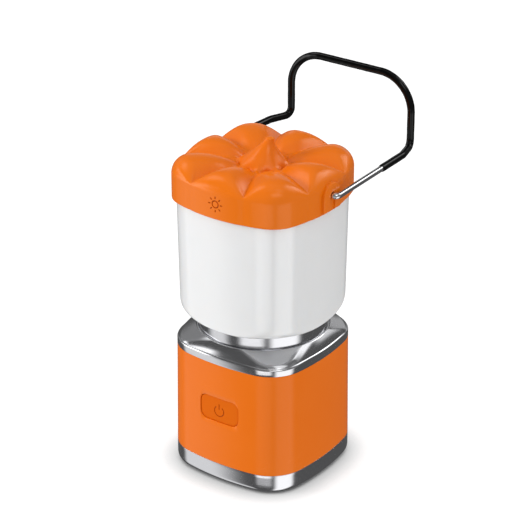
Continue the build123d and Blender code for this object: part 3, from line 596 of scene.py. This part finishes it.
def in_symbol(x, y, z):
    """Whether a point of the key is in the cut of the symbol."""
    near = math.hypot(x - SYMBOL[0], z - SYMBOL[1]) < SYMBOL_REACH
    return near and -y < front_surface(x, z, BUTTON_INSET + SYMBOL_DEPTH / 2 + 0.01)


# painted shade in the cut of the on-off symbol
darken_cut(key, in_symbol)

# ------------------------------------------------------------------ port cover on the back
COVER_FACE = 0.42  # depth of the rubber cover's face under the sleeve's
COVER_ROUND = 0.35
COVER_GROOVE = 0.14  # depth of the groove round its face
groove_floor = COVER_FACE + COVER_GROOVE
cover_rows = [(0.0, 1.74), (0.0, 0.8)]
for inward, up in arc_steps(6):
    cover_rows.append((-COVER_ROUND * inward, COVER_FACE + COVER_ROUND * (1 - up)))
cover_rows += [(-0.9, COVER_FACE), (-1.1, groove_floor), (-1.3, groove_floor), (-1.5, COVER_FACE)]
port_cover = inlay("socket_cover", port_outline(-7.2, 7.2, 3.9, 1.5), cover_rows, side=1, middle=INWARD)
dress(port_cover, "port_cover", "orange_rubber", orange_rubber, "port_cover")

# ------------------------------------------------------------------ top cover
RIM_TOP = 45.3
RIM_ROUND = 0.95
RIM_BEND = 0.5  # how far in the rim's rounding runs before the straight flank
FLANK_SLOPE = 1.75
SHOULDER = 22.0
SHOULDER_TOP = 49.6
CONE_SLOPE = 0.72
CONE_HOLLOW = 0.018  # how fast the cone flattens away from the neck
COVER_BLEND = 1.6  # width of the change-over from the cone to the flank
COVER_SEAM = 0.02  # gap between the top cover and the sleeve's top line
COVER_BORE = 7.0
COVER_UNDER = 47.6  # underside of the cover's top
COVER_SEAT = 18.5  # radius of the seat under it
SEAT_FOOT = 45.0
COVER_LIP = 40.2  # lower end of the lip inside the sleeve


def rim_radius(inset=0.0):
    return base_radius(DRAW_IN + inset)


rings = []
for inward, up in arc_steps(5):
    rings.append(ring(rim_radius(EDGE * (1 - up)), SLEEVE_TOP + COVER_SEAM + EDGE * inward))
rings += [ring(rim_radius(), height) for height in (44.0, 44.8)]
insets = np.linspace(0, 7, 141)
radius_at_inset = np.stack([rim_radius(inset) for inset in insets])


def inset_at(radius):
    """How far inside the rim's outline a row of radii lies, for each angle."""
    return np.array([np.interp(-radius[k], -radius_at_inset[:, k], insets) for k in range(AROUND)])


def cover_height(radius):
    """Height of the cover: a shallow cone round the neck, cut down by a steep flank along the square rim."""
    out = radius - SHOULDER
    cone = SHOULDER_TOP - CONE_SLOPE * out + CONE_HOLLOW * out**2
    inset = inset_at(radius)
    rounding = np.minimum(inset, RIM_BEND)
    flank = RIM_TOP + np.sqrt(RIM_ROUND**2 - (RIM_ROUND - rounding) ** 2) + FLANK_SLOPE * (inset - rounding)
    return soft_minimum(cone, flank, COVER_BLEND)


# rows along the rim's outline up to its bend, then rows that turn from the rim's outline into the round neck
for inset in RIM_BEND * np.linspace(0, 1, 9) ** 1.5:
    rings.append(ring(rim_radius(inset), cover_height(rim_radius(inset))))
for share in np.linspace(0, 1, 46)[1:] ** 1.2:
    radius = rim_radius(RIM_BEND) + (SHOULDER - rim_radius(RIM_BEND)) * share
    rings.append(ring(radius, cover_height(radius)))
rings += [ring(radius, SHOULDER_TOP) for radius in (SHOULDER - 0.5, COVER_BORE)]
rings += [ring(radius, COVER_UNDER) for radius in (COVER_BORE, COVER_SEAT)]
rings += [ring(radius, SEAT_FOOT) for radius in (COVER_SEAT, rim_radius(LIP_IN))]
rings.append(ring(rim_radius(LIP_IN), COVER_LIP))
rings += [ring(rim_radius(LIP), COVER_LIP), ring(rim_radius(LIP), SLEEVE_TOP + COVER_SEAM)]
top_cover = shell("shoulder_cover", rings, wrap=True)
dress(top_cover, "housing", "polished_metal", polished, "top_cover", sharp=40)

# ------------------------------------------------------------------ neck collar
COLLAR = 21.3
COLLAR_TOP = 53.95
COLLAR_FOOT_ROUND = 0.15
COLLAR_TOP_ROUND = 0.5
COLLAR_BORE = 16.6
SEAL_GROOVE = (19.5, 18.0)  # outer and inner radius of the groove for the neck seal
SEAL_FLOOR = 53.0
rings = [ring(COLLAR_BORE, SHOULDER_TOP), ring(COLLAR - COLLAR_FOOT_ROUND - 0.05, SHOULDER_TOP)]
for inward, up in arc_steps(6):
    foot = SHOULDER_TOP + 0.02 + COLLAR_FOOT_ROUND * inward
    rings.append(ring(COLLAR - COLLAR_FOOT_ROUND * (1 - up), foot))
rings += [ring(COLLAR, height) for height in (51.0, 52.0, 53.0)]
for inward, up in arc_steps(7):
    rings.append(ring(COLLAR - COLLAR_TOP_ROUND * inward, COLLAR_TOP - COLLAR_TOP_ROUND * (1 - up)))
rings += [ring(SEAL_GROOVE[0], height) for height in (COLLAR_TOP, SEAL_FLOOR)]
rings += [ring(SEAL_GROOVE[1], height) for height in (SEAL_FLOOR, COLLAR_TOP)]
rings.append(ring(COLLAR_BORE, COLLAR_TOP))
collar = shell("polished_collar", rings, wrap=True)
dress(collar, "housing", "polished_metal", polished, "neck_collar")

# ------------------------------------------------------------------ diffuser
DIFFUSER_BOTTOM = 54.1
DIFFUSER_TOP = 97.0
DRAFT = math.tan(math.radians(1.0))
BOWL_FLOOR = 21.0  # radius at the bowl's bottom
BOWL = 27.76  # radius at its top
BOWL_HEIGHT = 6.83
BOWL_BLEND = 0.9  # width of the change-over from the bowl to the upright walls
BOWL_STEEPNESS = 40  # growth of the bowl's radius above its top, where only the upright walls count
WALL = 1.5
FLOOR_WALL = 1.6


def globe_ring(lift, inset=0.0):
    """A row of the diffuser's skin at a height above its bottom: outer, or inner where inset is the wall."""
    prism = diffuser_radius(inset) + lift * DRAFT
    floor = FLOOR_WALL if inset else 0
    rise = max(min((lift - floor) / (BOWL_HEIGHT - floor), 1), 0)
    bowl = BOWL_FLOOR - inset + (BOWL - BOWL_FLOOR) * math.sqrt(1 - (1 - rise) ** 2)
    if rise >= 1:
        bowl = bowl + BOWL_STEEPNESS * (lift - BOWL_HEIGHT)
    return ring(soft_minimum(prism, bowl, BOWL_BLEND), DIFFUSER_BOTTOM + lift)


wall_lifts = [10, 14, 20, 28, 36]
top_growth = (DIFFUSER_TOP - DIFFUSER_BOTTOM) * DRAFT
rings = [ring(COLLAR_BORE, DIFFUSER_BOTTOM), ring(19.0, DIFFUSER_BOTTOM)]
rings += [globe_ring(BOWL_HEIGHT * (1 - math.cos(angle))) for angle in np.linspace(0, QUARTER, 30)]
rings += [globe_ring(lift) for lift in [7.3, 8] + wall_lifts]
rings.append(ring(diffuser_radius() + top_growth, DIFFUSER_TOP))
rings.append(ring(diffuser_radius(WALL) + top_growth, DIFFUSER_TOP))
rings += [globe_ring(lift, WALL) for lift in reversed(wall_lifts)]
for share in (1, 0.7, 0.4, 0.2, 0.08, 0):
    rings.append(globe_ring(FLOOR_WALL + (BOWL_HEIGHT - FLOOR_WALL) * share, WALL))
rings.append(ring(COLLAR_BORE, DIFFUSER_BOTTOM + FLOOR_WALL))
diffuser = shell("milky_globe", rings, wrap=True)
dress(diffuser, "housing", "diffuser_white", milky, "diffuser", sharp=50)

# ------------------------------------------------------------------ pumpkin cap
LOBES = 8
CAP_BOTTOM = 95.15
CAP_EDGE = 0.25  # rounding of the skirt's lower edge
RIM_GAP = 0.85  # gap between the diffuser's outline and the cap's inner wall
CAP_LEDGE = 98.4  # ledge over the diffuser's rim
CAP_ROOF = 101.6  # underside of the lobes
CAP_WALL = 4.2
CREST = 109.2
SKIRT_CREASE = 104.5  # height of the creases on the skirt
ROLL_START = 103.5  # where the skirt starts to round over into the lobes
PIT = 105.3  # floor round the stem
STEM_TOP = 114.2
STEM_LEAN = np.array((1.95, 1.4))  # how far the stem's tip is to the right and back
STEM_EDGE = 8.2  # radius of the stem's foot
STEM_STEP = 0.35  # how much the floor rises and falls round the stem's foot
KINK_DEPTH = 0.16  # notch where a crease runs out into the skirt
KINK_WIDTH = 0.22

across_lobe = (TURN * LOBES / (2 * math.pi) + 0.5) % 1 * 2 - 1  # -1 and 1 at the creases, 0 on a lobe's ridge
fullness = 1 - np.abs(across_lobe) ** 2.5  # 0 at the creases, 1 on the ridges
crease_star = np.cos(LOBES * TURN + math.pi)  # 1 at the creases, -1 on the ridges
kink = KINK_DEPTH * np.maximum(0, 1 - (1 - np.abs(across_lobe)) / KINK_WIDTH)

# the skirt rounds over into the lobes: tightly at the creases, widely on the ridges
skirt = cap_radius() - kink
roll_in = 0.5 + 6.0 * fullness**0.7
roll_top = SKIRT_CREASE + (CREST - SKIRT_CREASE) * fullness
roll_start = ROLL_START + 0.3 * crease_star
roll_up = roll_top - roll_start
skirt_foot = CAP_BOTTOM + CAP_EDGE
rings = [ring(14.0, CAP_ROOF)]
rings += [ring(cap_radius(CAP_WALL), height) for height in (CAP_ROOF, CAP_LEDGE)]
rings += [ring(diffuser_radius(-RIM_GAP), height) for height in (CAP_LEDGE, CAP_BOTTOM)]
rings.append(ring(skirt - CAP_EDGE, CAP_BOTTOM))
for inward, up in arc_steps(5):
    rings.append(ring(skirt - CAP_EDGE * (1 - up), CAP_BOTTOM + CAP_EDGE * inward))
for share in (0.1, 0.3, 0.5, 0.7, 0.85, 0.95):
    rings.append(ring(skirt, skirt_foot + (roll_start - skirt_foot) * share))
for inward, up in arc_steps(20):
    rings.append(ring(skirt - roll_in * inward, roll_start + roll_up * up))

# the lobes fall from their crests to the stem's foot: their ridges and the valleys between them
ridge_end = skirt - roll_in
stem_edge = STEM_EDGE + 0.7 * crease_star
stem_foot = PIT + STEM_STEP + STEM_STEP * crease_star
for share in np.linspace(1, 0, 34)[1:]:
    radius = stem_edge + (ridge_end - stem_edge) * share
    ridge = PIT + (CREST - PIT) * (1 - (1 - share) ** 2.3)
    valley = stem_foot + (SKIRT_CREASE - stem_foot) * share**1.6 + 0.5 * math.sin(math.pi * share)
    rings.append(ring(radius, valley + (ridge - valley) * fullness))

# the stem: its radius at shares of its height, fluted at its foot and leaning over
stem_shares = np.array((0.0, 0.06, 0.17, 0.42, 0.75, 0.9, 0.97, 1.0))
stem_radii = np.array((STEM_EDGE, 7.6, 6.7, 4.5, 2.15, 1.55, 1.3, 0.8))
stem_slopes = np.gradient(stem_radii, stem_shares)
stem_base = rings[-1][:, 2]
stem_low = PIT + STEM_STEP
for share in np.concatenate([np.linspace(0, 0.9, 26)[1:], np.linspace(0.9, 1.0, 8)[1:]]):
    radius = smooth_value(share, stem_shares, stem_radii, stem_slopes)
    foot = stem_low + (stem_base - stem_low) * (1 - share) ** 14
    fluting = 1 + 0.09 * (1 - share) ** 16 * crease_star
    row = ring(radius * fluting, foot + (STEM_TOP - foot) * share)
    row[:, :2] += STEM_LEAN * share**1.5
    rings.append(row)
cap = shell("pumpkin_cap", rings)

EAR_FACE = 26.8
EAR_ROOT = 23.8  # where the ear pads start inside the skirt
EAR_ROUND = 0.35
EAR = (4.5, 95.9, 105.1)  # half width, lowest and highest point
PIVOT = 100.8
HOLE = 1.06
HOLE_MOUTH = 1.4
HOLE_END = 23.1
OUTSIDE = 28.0  # beyond the ears' faces
GROOVE = (2.6, 8.0, 1.29)  # width, height and corner radius of the groove below the hole
GROOVE_DROP = 2.7  # how far the groove's middle is below the hole's
GROOVE_DEPTH = 0.5


def ear_outline(growth):
    """The arched pad round a pivot hole, as (across, height)."""
    half, low, high = EAR[0] + growth, EAR[1] - growth, EAR[2] + growth
    angles = np.linspace(0, math.pi, 60)
    arch = np.stack([half * np.cos(angles), high - half + half * np.sin(angles)], 1)
    feet = np.array(((-half, low), (half, low)))
    return resample(np.concatenate([arch, feet]), OUTLINE_POINTS)


def pivot_circle(radius):
    """Points of a circle round the pivot, as (across, height)."""
    angles = np.linspace(0, 2 * math.pi, 48, endpoint=False)
    return np.stack([radius * np.cos(angles), PIVOT + radius * np.sin(angles)], 1)


# rows of the ear pads, (growth, distance out), and of the holes, (radius, distance out)
ear_rows = [(0.0, EAR_ROOT), (0.0, EAR_FACE - EAR_ROUND)]
ear_rows += [(-EAR_ROUND * inward, EAR_FACE - EAR_ROUND * (1 - up)) for inward, up in arc_steps(6)]
hole_rows = ((HOLE, HOLE_END), (HOLE, EAR_FACE - 0.75), (1.15, EAR_FACE - 0.6), (HOLE_MOUTH, EAR_FACE - 0.45),
             (HOLE_MOUTH, OUTSIDE))
groove = rounded_rectangle(*GROOVE) + np.array((0, PIVOT - GROOVE_DROP))
for side in (-1, 1):
    ear = [facing_side(ear_outline(growth), side * out) for growth, out in ear_rows]
    boolean(cap, shell("ear", ear), "UNION")
    hole = [facing_side(pivot_circle(radius), side * out) for radius, out in hole_rows]
    boolean(cap, shell("hole", hole))
    groove_rows = [facing_side(groove, side * out) for out in (EAR_FACE - GROOVE_DEPTH, OUTSIDE)]
    boolean(cap, shell("groove", groove_rows))

# ------------------------------------------------------------------ engraved sun: a ring with eight rays
SUN = (0.3, 100.3)
SUN_RING = (1.35, 0.95)  # outer and inner radius
SUN_DEPTH = 0.3
SUN_REACH = 2.9  # the whole sun lies within this distance of its middle
SUN_FRONT = -27.0  # in front of the cap's skirt
RAYS = 8
RAY = (0.9, 0.42, 0.2)  # length, width and corner radius
RAY_OUT = 2.25  # distance of a ray's middle from the sun's
sun_floor = -(CAP[0] - SUN_DEPTH)
outer, inner = SUN_RING
clockwise = np.stack([np.sin(TURN), np.cos(TURN)], 1)
sun_rows = [facing_front(radius * clockwise + SUN, y) for radius, y in (
    (outer, sun_floor), (outer, SUN_FRONT), (inner, SUN_FRONT), (inner, sun_floor))]
boolean(cap, shell("sun_ring", sun_rows, wrap=True))
for angle in np.arange(RAYS) * 2 * math.pi / RAYS:
    along = np.array((math.sin(angle), math.cos(angle)))
    over = np.array((math.cos(angle), -math.sin(angle)))
    flat = rounded_rectangle(*RAY)
    points = np.array(SUN) + (flat[:, :1] + RAY_OUT) * along + flat[:, 1:] * over
    boolean(cap, shell("ray", [facing_front(points, y) for y in (SUN_FRONT, sun_floor)]))
dress(cap, "housing", "orange_cap", cap_orange, "cap_cover", sharp=38)


def in_sun(x, y, z):
    """Whether a point of the cap is in the cut of the sun."""
    near = math.hypot(x - SUN[0], z - SUN[1]) < SUN_REACH
    return near and SUN_FRONT < y < -25.2 and -y < CAP[0] - 0.12


# painted shade in the cut of the sun
darken_cut(cap, in_sun)


# ------------------------------------------------------------------ bail
ARC_STEP = 0.35  # distance between the points of an arc
RUN_STEP = 0.8  # distance between the points of a straight run


def filleted(points, radii):
    """Points along straight runs joined by arcs, with one radius for each inner corner."""
    points = [np.array(point, float) for point in points]
    path = [points[0]]
    for before, corner, after, radius in zip(points, points[1:], points[2:], radii):
        back, on = before - corner, after - corner
        back, on = back / np.linalg.norm(back), on / np.linalg.norm(on)
        half = math.acos(np.clip(back @ on, -1, 1)) / 2
        cut = radius / math.tan(half)
        centre = corner + (back + on) / np.linalg.norm(back + on) * radius / math.sin(half)
        start, end = corner + back * cut, corner + on * cut
        sweep = math.pi - 2 * half
        count = max(4, int(radius * sweep / ARC_STEP))
        for k in range(count + 1):
            share = k / count
            first = math.sin((1 - share) * sweep) * (start - centre)
            last = math.sin(share * sweep) * (end - centre)
            path.append(centre + (first + last) / math.sin(sweep))
    path.append(points[-1])
    dense = [path[0]]
    for start, end in zip(path, path[1:]):
        gap = np.linalg.norm(end - start)
        if gap < 1e-6:
            continue
        count = max(1, round(gap / RUN_STEP))
        dense += [start + (end - start) * k / count for k in range(1, count + 1)]
    return np.array(dense)


def tube(name, path, radii, sides):
    """A round bar of varying radius along a path, with frames carried along without twist."""
    directions = np.gradient(path, axis=0)
    directions /= np.linalg.norm(directions, axis=1)[:, None]
    normal = np.cross(directions[0], (0.3, 0.5, 0.8))
    rows = []
    angles = np.arange(sides) * 2 * math.pi / sides
    for point, direction, radius in zip(path, directions, radii):
        normal = normal - direction * (normal @ direction)
        normal /= np.linalg.norm(normal)
        side = np.cross(direction, normal)
        rows.append(point + radius * (np.outer(np.cos(angles), normal) + np.outer(np.sin(angles), side)))
    return shell(name, rows)


WIRE = 1.0  # radius of the bare wire
RUBBER = 1.25  # radius of the black tube over it
# corners of the bail's right half: pin in the ear, leg, and loop with its upright
PIN_END = (23.4, 0, PIVOT)
LEG_START = np.array((28.3, 0, PIVOT))
LEG_BEND = np.array((26.4, 40.9, 100.4))
LOOP = [tuple(LEG_BEND), (23.8, 49.6, 100.1), (23.8, 49.6, 123.5)]
PIN_BEND = 1.3
LOOP_BENDS = [6.0, 2.6, 12.0]  # radii from the leg's bend to the loop's upper corner
BARE_LEG = 27.0  # length of the leg that the black tube leaves bare


def mirrored(points):
    """Points of the bail's right half, followed by the same points of its left half."""
    return points + [(-x, y, z) for x, y, z in reversed(points)]


loop_radii = LOOP_BENDS + LOOP_BENDS[::-1]
wire_path = filleted(mirrored([PIN_END, tuple(LEG_START)] + LOOP), [PIN_BEND] + loop_radii + [PIN_BEND])
wire = tube("bail_rod", wire_path, np.full(len(wire_path), WIRE), sides=32)
dress(wire, "bail", "bail_steel", bright_wire, "bail_wire", sharp=50)

leg_direction = (LEG_BEND - LEG_START) / np.linalg.norm(LEG_BEND - LEG_START)
rubber_path = filleted(mirrored([tuple(LEG_START + leg_direction * BARE_LEG)] + LOOP), loop_radii)
along = np.concatenate([[0], np.cumsum(np.linalg.norm(np.diff(rubber_path, axis=0), axis=1))])
from_end = np.minimum(along, along[-1] - along)
# a shrunk tube is slightly uneven, and drawn in at its ends
skin = RUBBER + 0.012 * np.sin(along * 0.9) + 0.01 * np.sin(along * 2.3 + 1)
skin = skin - 0.16 * np.exp(-from_end / 0.25)
rubber = tube("bail_tube", rubber_path, skin, sides=40)
dress(rubber, "bail", "bail_rubber", gloss_black, "bail_sleeve", sharp=50)

# ------------------------------------------------------------------ floor, lights and world
FLOOR_HALF = 3  # metres
FLOOR_GLOW = (0.0, 0.8)  # the floor's own light in the contact shadow and in the open
FLOOR_OPEN = (0.2, 0.93)  # openness between which the painted contact shadow fades
SHADOW_REACH = 11  # mm
CORNERS = ((-1, -1), (1, -1), (1, 1), (-1, 1))
floor_mesh = bpy.data.meshes.new("floor")
floor_points = [(FLOOR_HALF * across, FLOOR_HALF * back, 0) for across, back in CORNERS]
floor_mesh.from_pydata(floor_points, [], [(0, 1, 2, 3)])
floor = bpy.data.objects.new("floor", floor_mesh)
bpy.context.scene.collection.objects.link(floor)
floor_material, floor_tree, floor_shader = new_material("pale_floor")
floor_shader.inputs["Base Color"].default_value = (0.3, 0.3, 0.3, 1)
floor_shader.inputs["Roughness"].default_value = 0.9
# painted shadow: ambient occlusion dims the floor's own light near the object, so the contact shadow is
# painted into the floor, not cast by the lights
openness = floor_tree.nodes.new("ShaderNodeAmbientOcclusion")
openness.samples = 12
openness.inputs["Distance"].default_value = SHADOW_REACH * MM
glow = spread(floor_tree, openness.outputs["AO"], *FLOOR_GLOW, *FLOOR_OPEN)
floor_tree.links.new(glow, floor_shader.inputs["Emission Strength"])
floor_shader.inputs["Emission Color"].default_value = (1, 1, 1, 1)
floor_mesh.materials.append(floor_material)
floor.visible_glossy = False
floor.visible_diffuse = False


def area_light(name, location, target, size, power):
    """A square soft light, sizes in metres and power in watts, that reflections don't see."""
    data = bpy.data.lights.new(name, "AREA")
    data.energy = power
    data.size = size
    light = bpy.data.objects.new(name, data)
    bpy.context.scene.collection.objects.link(light)
    light.location = location
    light.rotation_euler = (Vector(location) - Vector(target)).to_track_quat("Z", "Y").to_euler()
    light.visible_glossy = False


area_light("key_light", (-0.6, -0.55, 0.4), (0, 0, 0.06), size=0.2, power=3.0)
area_light("back_light", (-0.35, 0.6, 0.4), (0, 0, 0.08), size=1.3, power=0.5)

world = bpy.data.worlds.new("studio")
bpy.context.scene.world = world
world.cycles.sampling_method = "NONE"
world.use_nodes = True
sky = world.node_tree
sky.nodes.clear()


def maths(operation, *values):
    """A math node of the sky; each value is a number or a socket."""
    node = sky.nodes.new("ShaderNodeMath")
    node.operation = operation
    for socket, value in zip(node.inputs, values):
        if isinstance(value, (int, float)):
            socket.default_value = value
        else:
            sky.links.new(value, socket)
    return node.outputs[0]


def ramp(value, stops):
    """Brightness along a value from 0 to 1, from (place, brightness) pairs."""
    node = sky.nodes.new("ShaderNodeValToRGB")
    node.color_ramp.interpolation = "EASE"
    elements = node.color_ramp.elements
    while len(elements) < len(stops):
        elements.new(0.5)
    for element, (place, brightness) in zip(elements, sorted(stops)):
        element.position = place
        element.color = (brightness, brightness, brightness, 1)
    sky.links.new(value, node.inputs["Fac"])
    return node.outputs["Color"]


split = sky.nodes.new("ShaderNodeSeparateXYZ")
sky.links.new(sky.nodes.new("ShaderNodeTexCoord").outputs["Generated"], split.inputs[0])
plan = maths("MULTIPLY", maths("ARCTAN2", split.outputs["Y"], split.outputs["X"]), 180 / math.pi)
rise = maths("MULTIPLY", maths("ARCSINE", split.outputs["Z"]), 180 / math.pi)


def fade(value, full, none):
    """1 where value is at full, falling smoothly to 0 at none."""
    node = sky.nodes.new("ShaderNodeMapRange")
    node.interpolation_type = "SMOOTHSTEP"
    node.inputs["From Min"].default_value = min(full, none)
    node.inputs["From Max"].default_value = max(full, none)
    node.inputs["To Min"].default_value = 1 if full < none else 0
    node.inputs["To Max"].default_value = 0 if full < none else 1
    sky.links.new(value, node.inputs["Value"])
    return node.outputs["Result"]


def panel(start, end, side_blur, low, high, blur, strength):
    """A soft box of light between two plan angles and two elevations, in degrees."""
    middle, half = (start + end) / 2, (end - start) / 2
    aside = maths("ABSOLUTE", maths("WRAP", maths("SUBTRACT", plan, middle), 180, -180))
    across = fade(aside, half, half + side_blur)
    upright = maths("MULTIPLY", fade(rise, low, low - blur), fade(rise, high, high + blur))
    return maths("MULTIPLY", maths("MULTIPLY", across, upright), strength)


# soft boxes: plan angles from and to, blur, elevations from and to, blur, brightness
PANELS = (
    (-150, -132, 22, -60, -4, 12, 0.95),
    (-152, -134, 8, -8, 12, 7, 3.1),
    (-170, -132, 8, 13, 21, 5, 2.2),
    (-88, -60, 14, -28.6, -20, 3.2, 1.5),
    (-33, 4, 16, -75, -22, 10, 1.5),
    (-90, 20, 14, -12, 45, 12, 0.16),
    (38, 52, 7, 36, 58, 9, 1.5),
    (54, 78, 8, 20, 32, 6, 0.9),
    (60, 76, 8, 32, 54, 8, 3.4),
    (92, 130, 8, 4, 15, 8, 0.4),
    (160, 190, 14, 15, 50, 12, 0.2),
    (-184, -162, 12, 44, 56, 10, 2.0),
    (-52, -24, 9, 38, 54, 7, 2.4),
    (-26, 2, 8, 56, 74, 5, 1.0),
)
STUDIO = 0.12  # brightness that reflections see where no soft box is
STUDIO_ABOVE = 0.34  # added from 50 degrees of elevation up to 80
studio = maths("ADD", STUDIO, maths("MULTIPLY", fade(rise, 80, 50), STUDIO_ABOVE))
for sizes in PANELS:
    studio = maths("ADD", studio, panel(*sizes))


def background(colour):
    """A background of a grey level or of a colour socket."""
    node = sky.nodes.new("ShaderNodeBackground")
    if isinstance(colour, float):
        node.inputs["Color"].default_value = (colour, colour, colour, 1)
    else:
        sky.links.new(colour, node.inputs["Color"])
    return node.outputs[0]


def either(factor, first, second):
    """The first background where factor is 0, the second where it is 1."""
    node = sky.nodes.new("ShaderNodeMixShader")
    sky.links.new(factor, node.inputs["Fac"])
    sky.links.new(first, node.inputs[1])
    sky.links.new(second, node.inputs[2])
    return node.outputs[0]


# the even light on matt surfaces: its brightness at shares of a turn round the object, from the left side
AROUND_LIGHT = ((0.0, 0.72), (0.17, 0.79), (0.3, 0.82), (0.4, 0.92), (0.55, 0.94), (0.67, 0.93), (0.86, 0.78),
                (1.0, 0.74))
OVERHEAD = 0.3  # added from 35 degrees of elevation up to 65
turn_share = maths("DIVIDE", maths("ADD", plan, 180), 360)
overhead = maths("ADD", 1, maths("MULTIPLY", fade(rise, 65, 35), OVERHEAD))
ambient = maths("MULTIPLY", ramp(turn_share, AROUND_LIGHT), overhead)
rays = sky.nodes.new("ShaderNodeLightPath")
lighting = either(rays.outputs["Is Glossy Ray"], background(ambient), background(studio))
shown = either(rays.outputs["Is Camera Ray"], lighting, background(1.0))
sky.links.new(shown, sky.nodes.new("ShaderNodeOutputWorld").inputs["Surface"])
bpy.context.scene.view_settings.view_transform = "Standard"
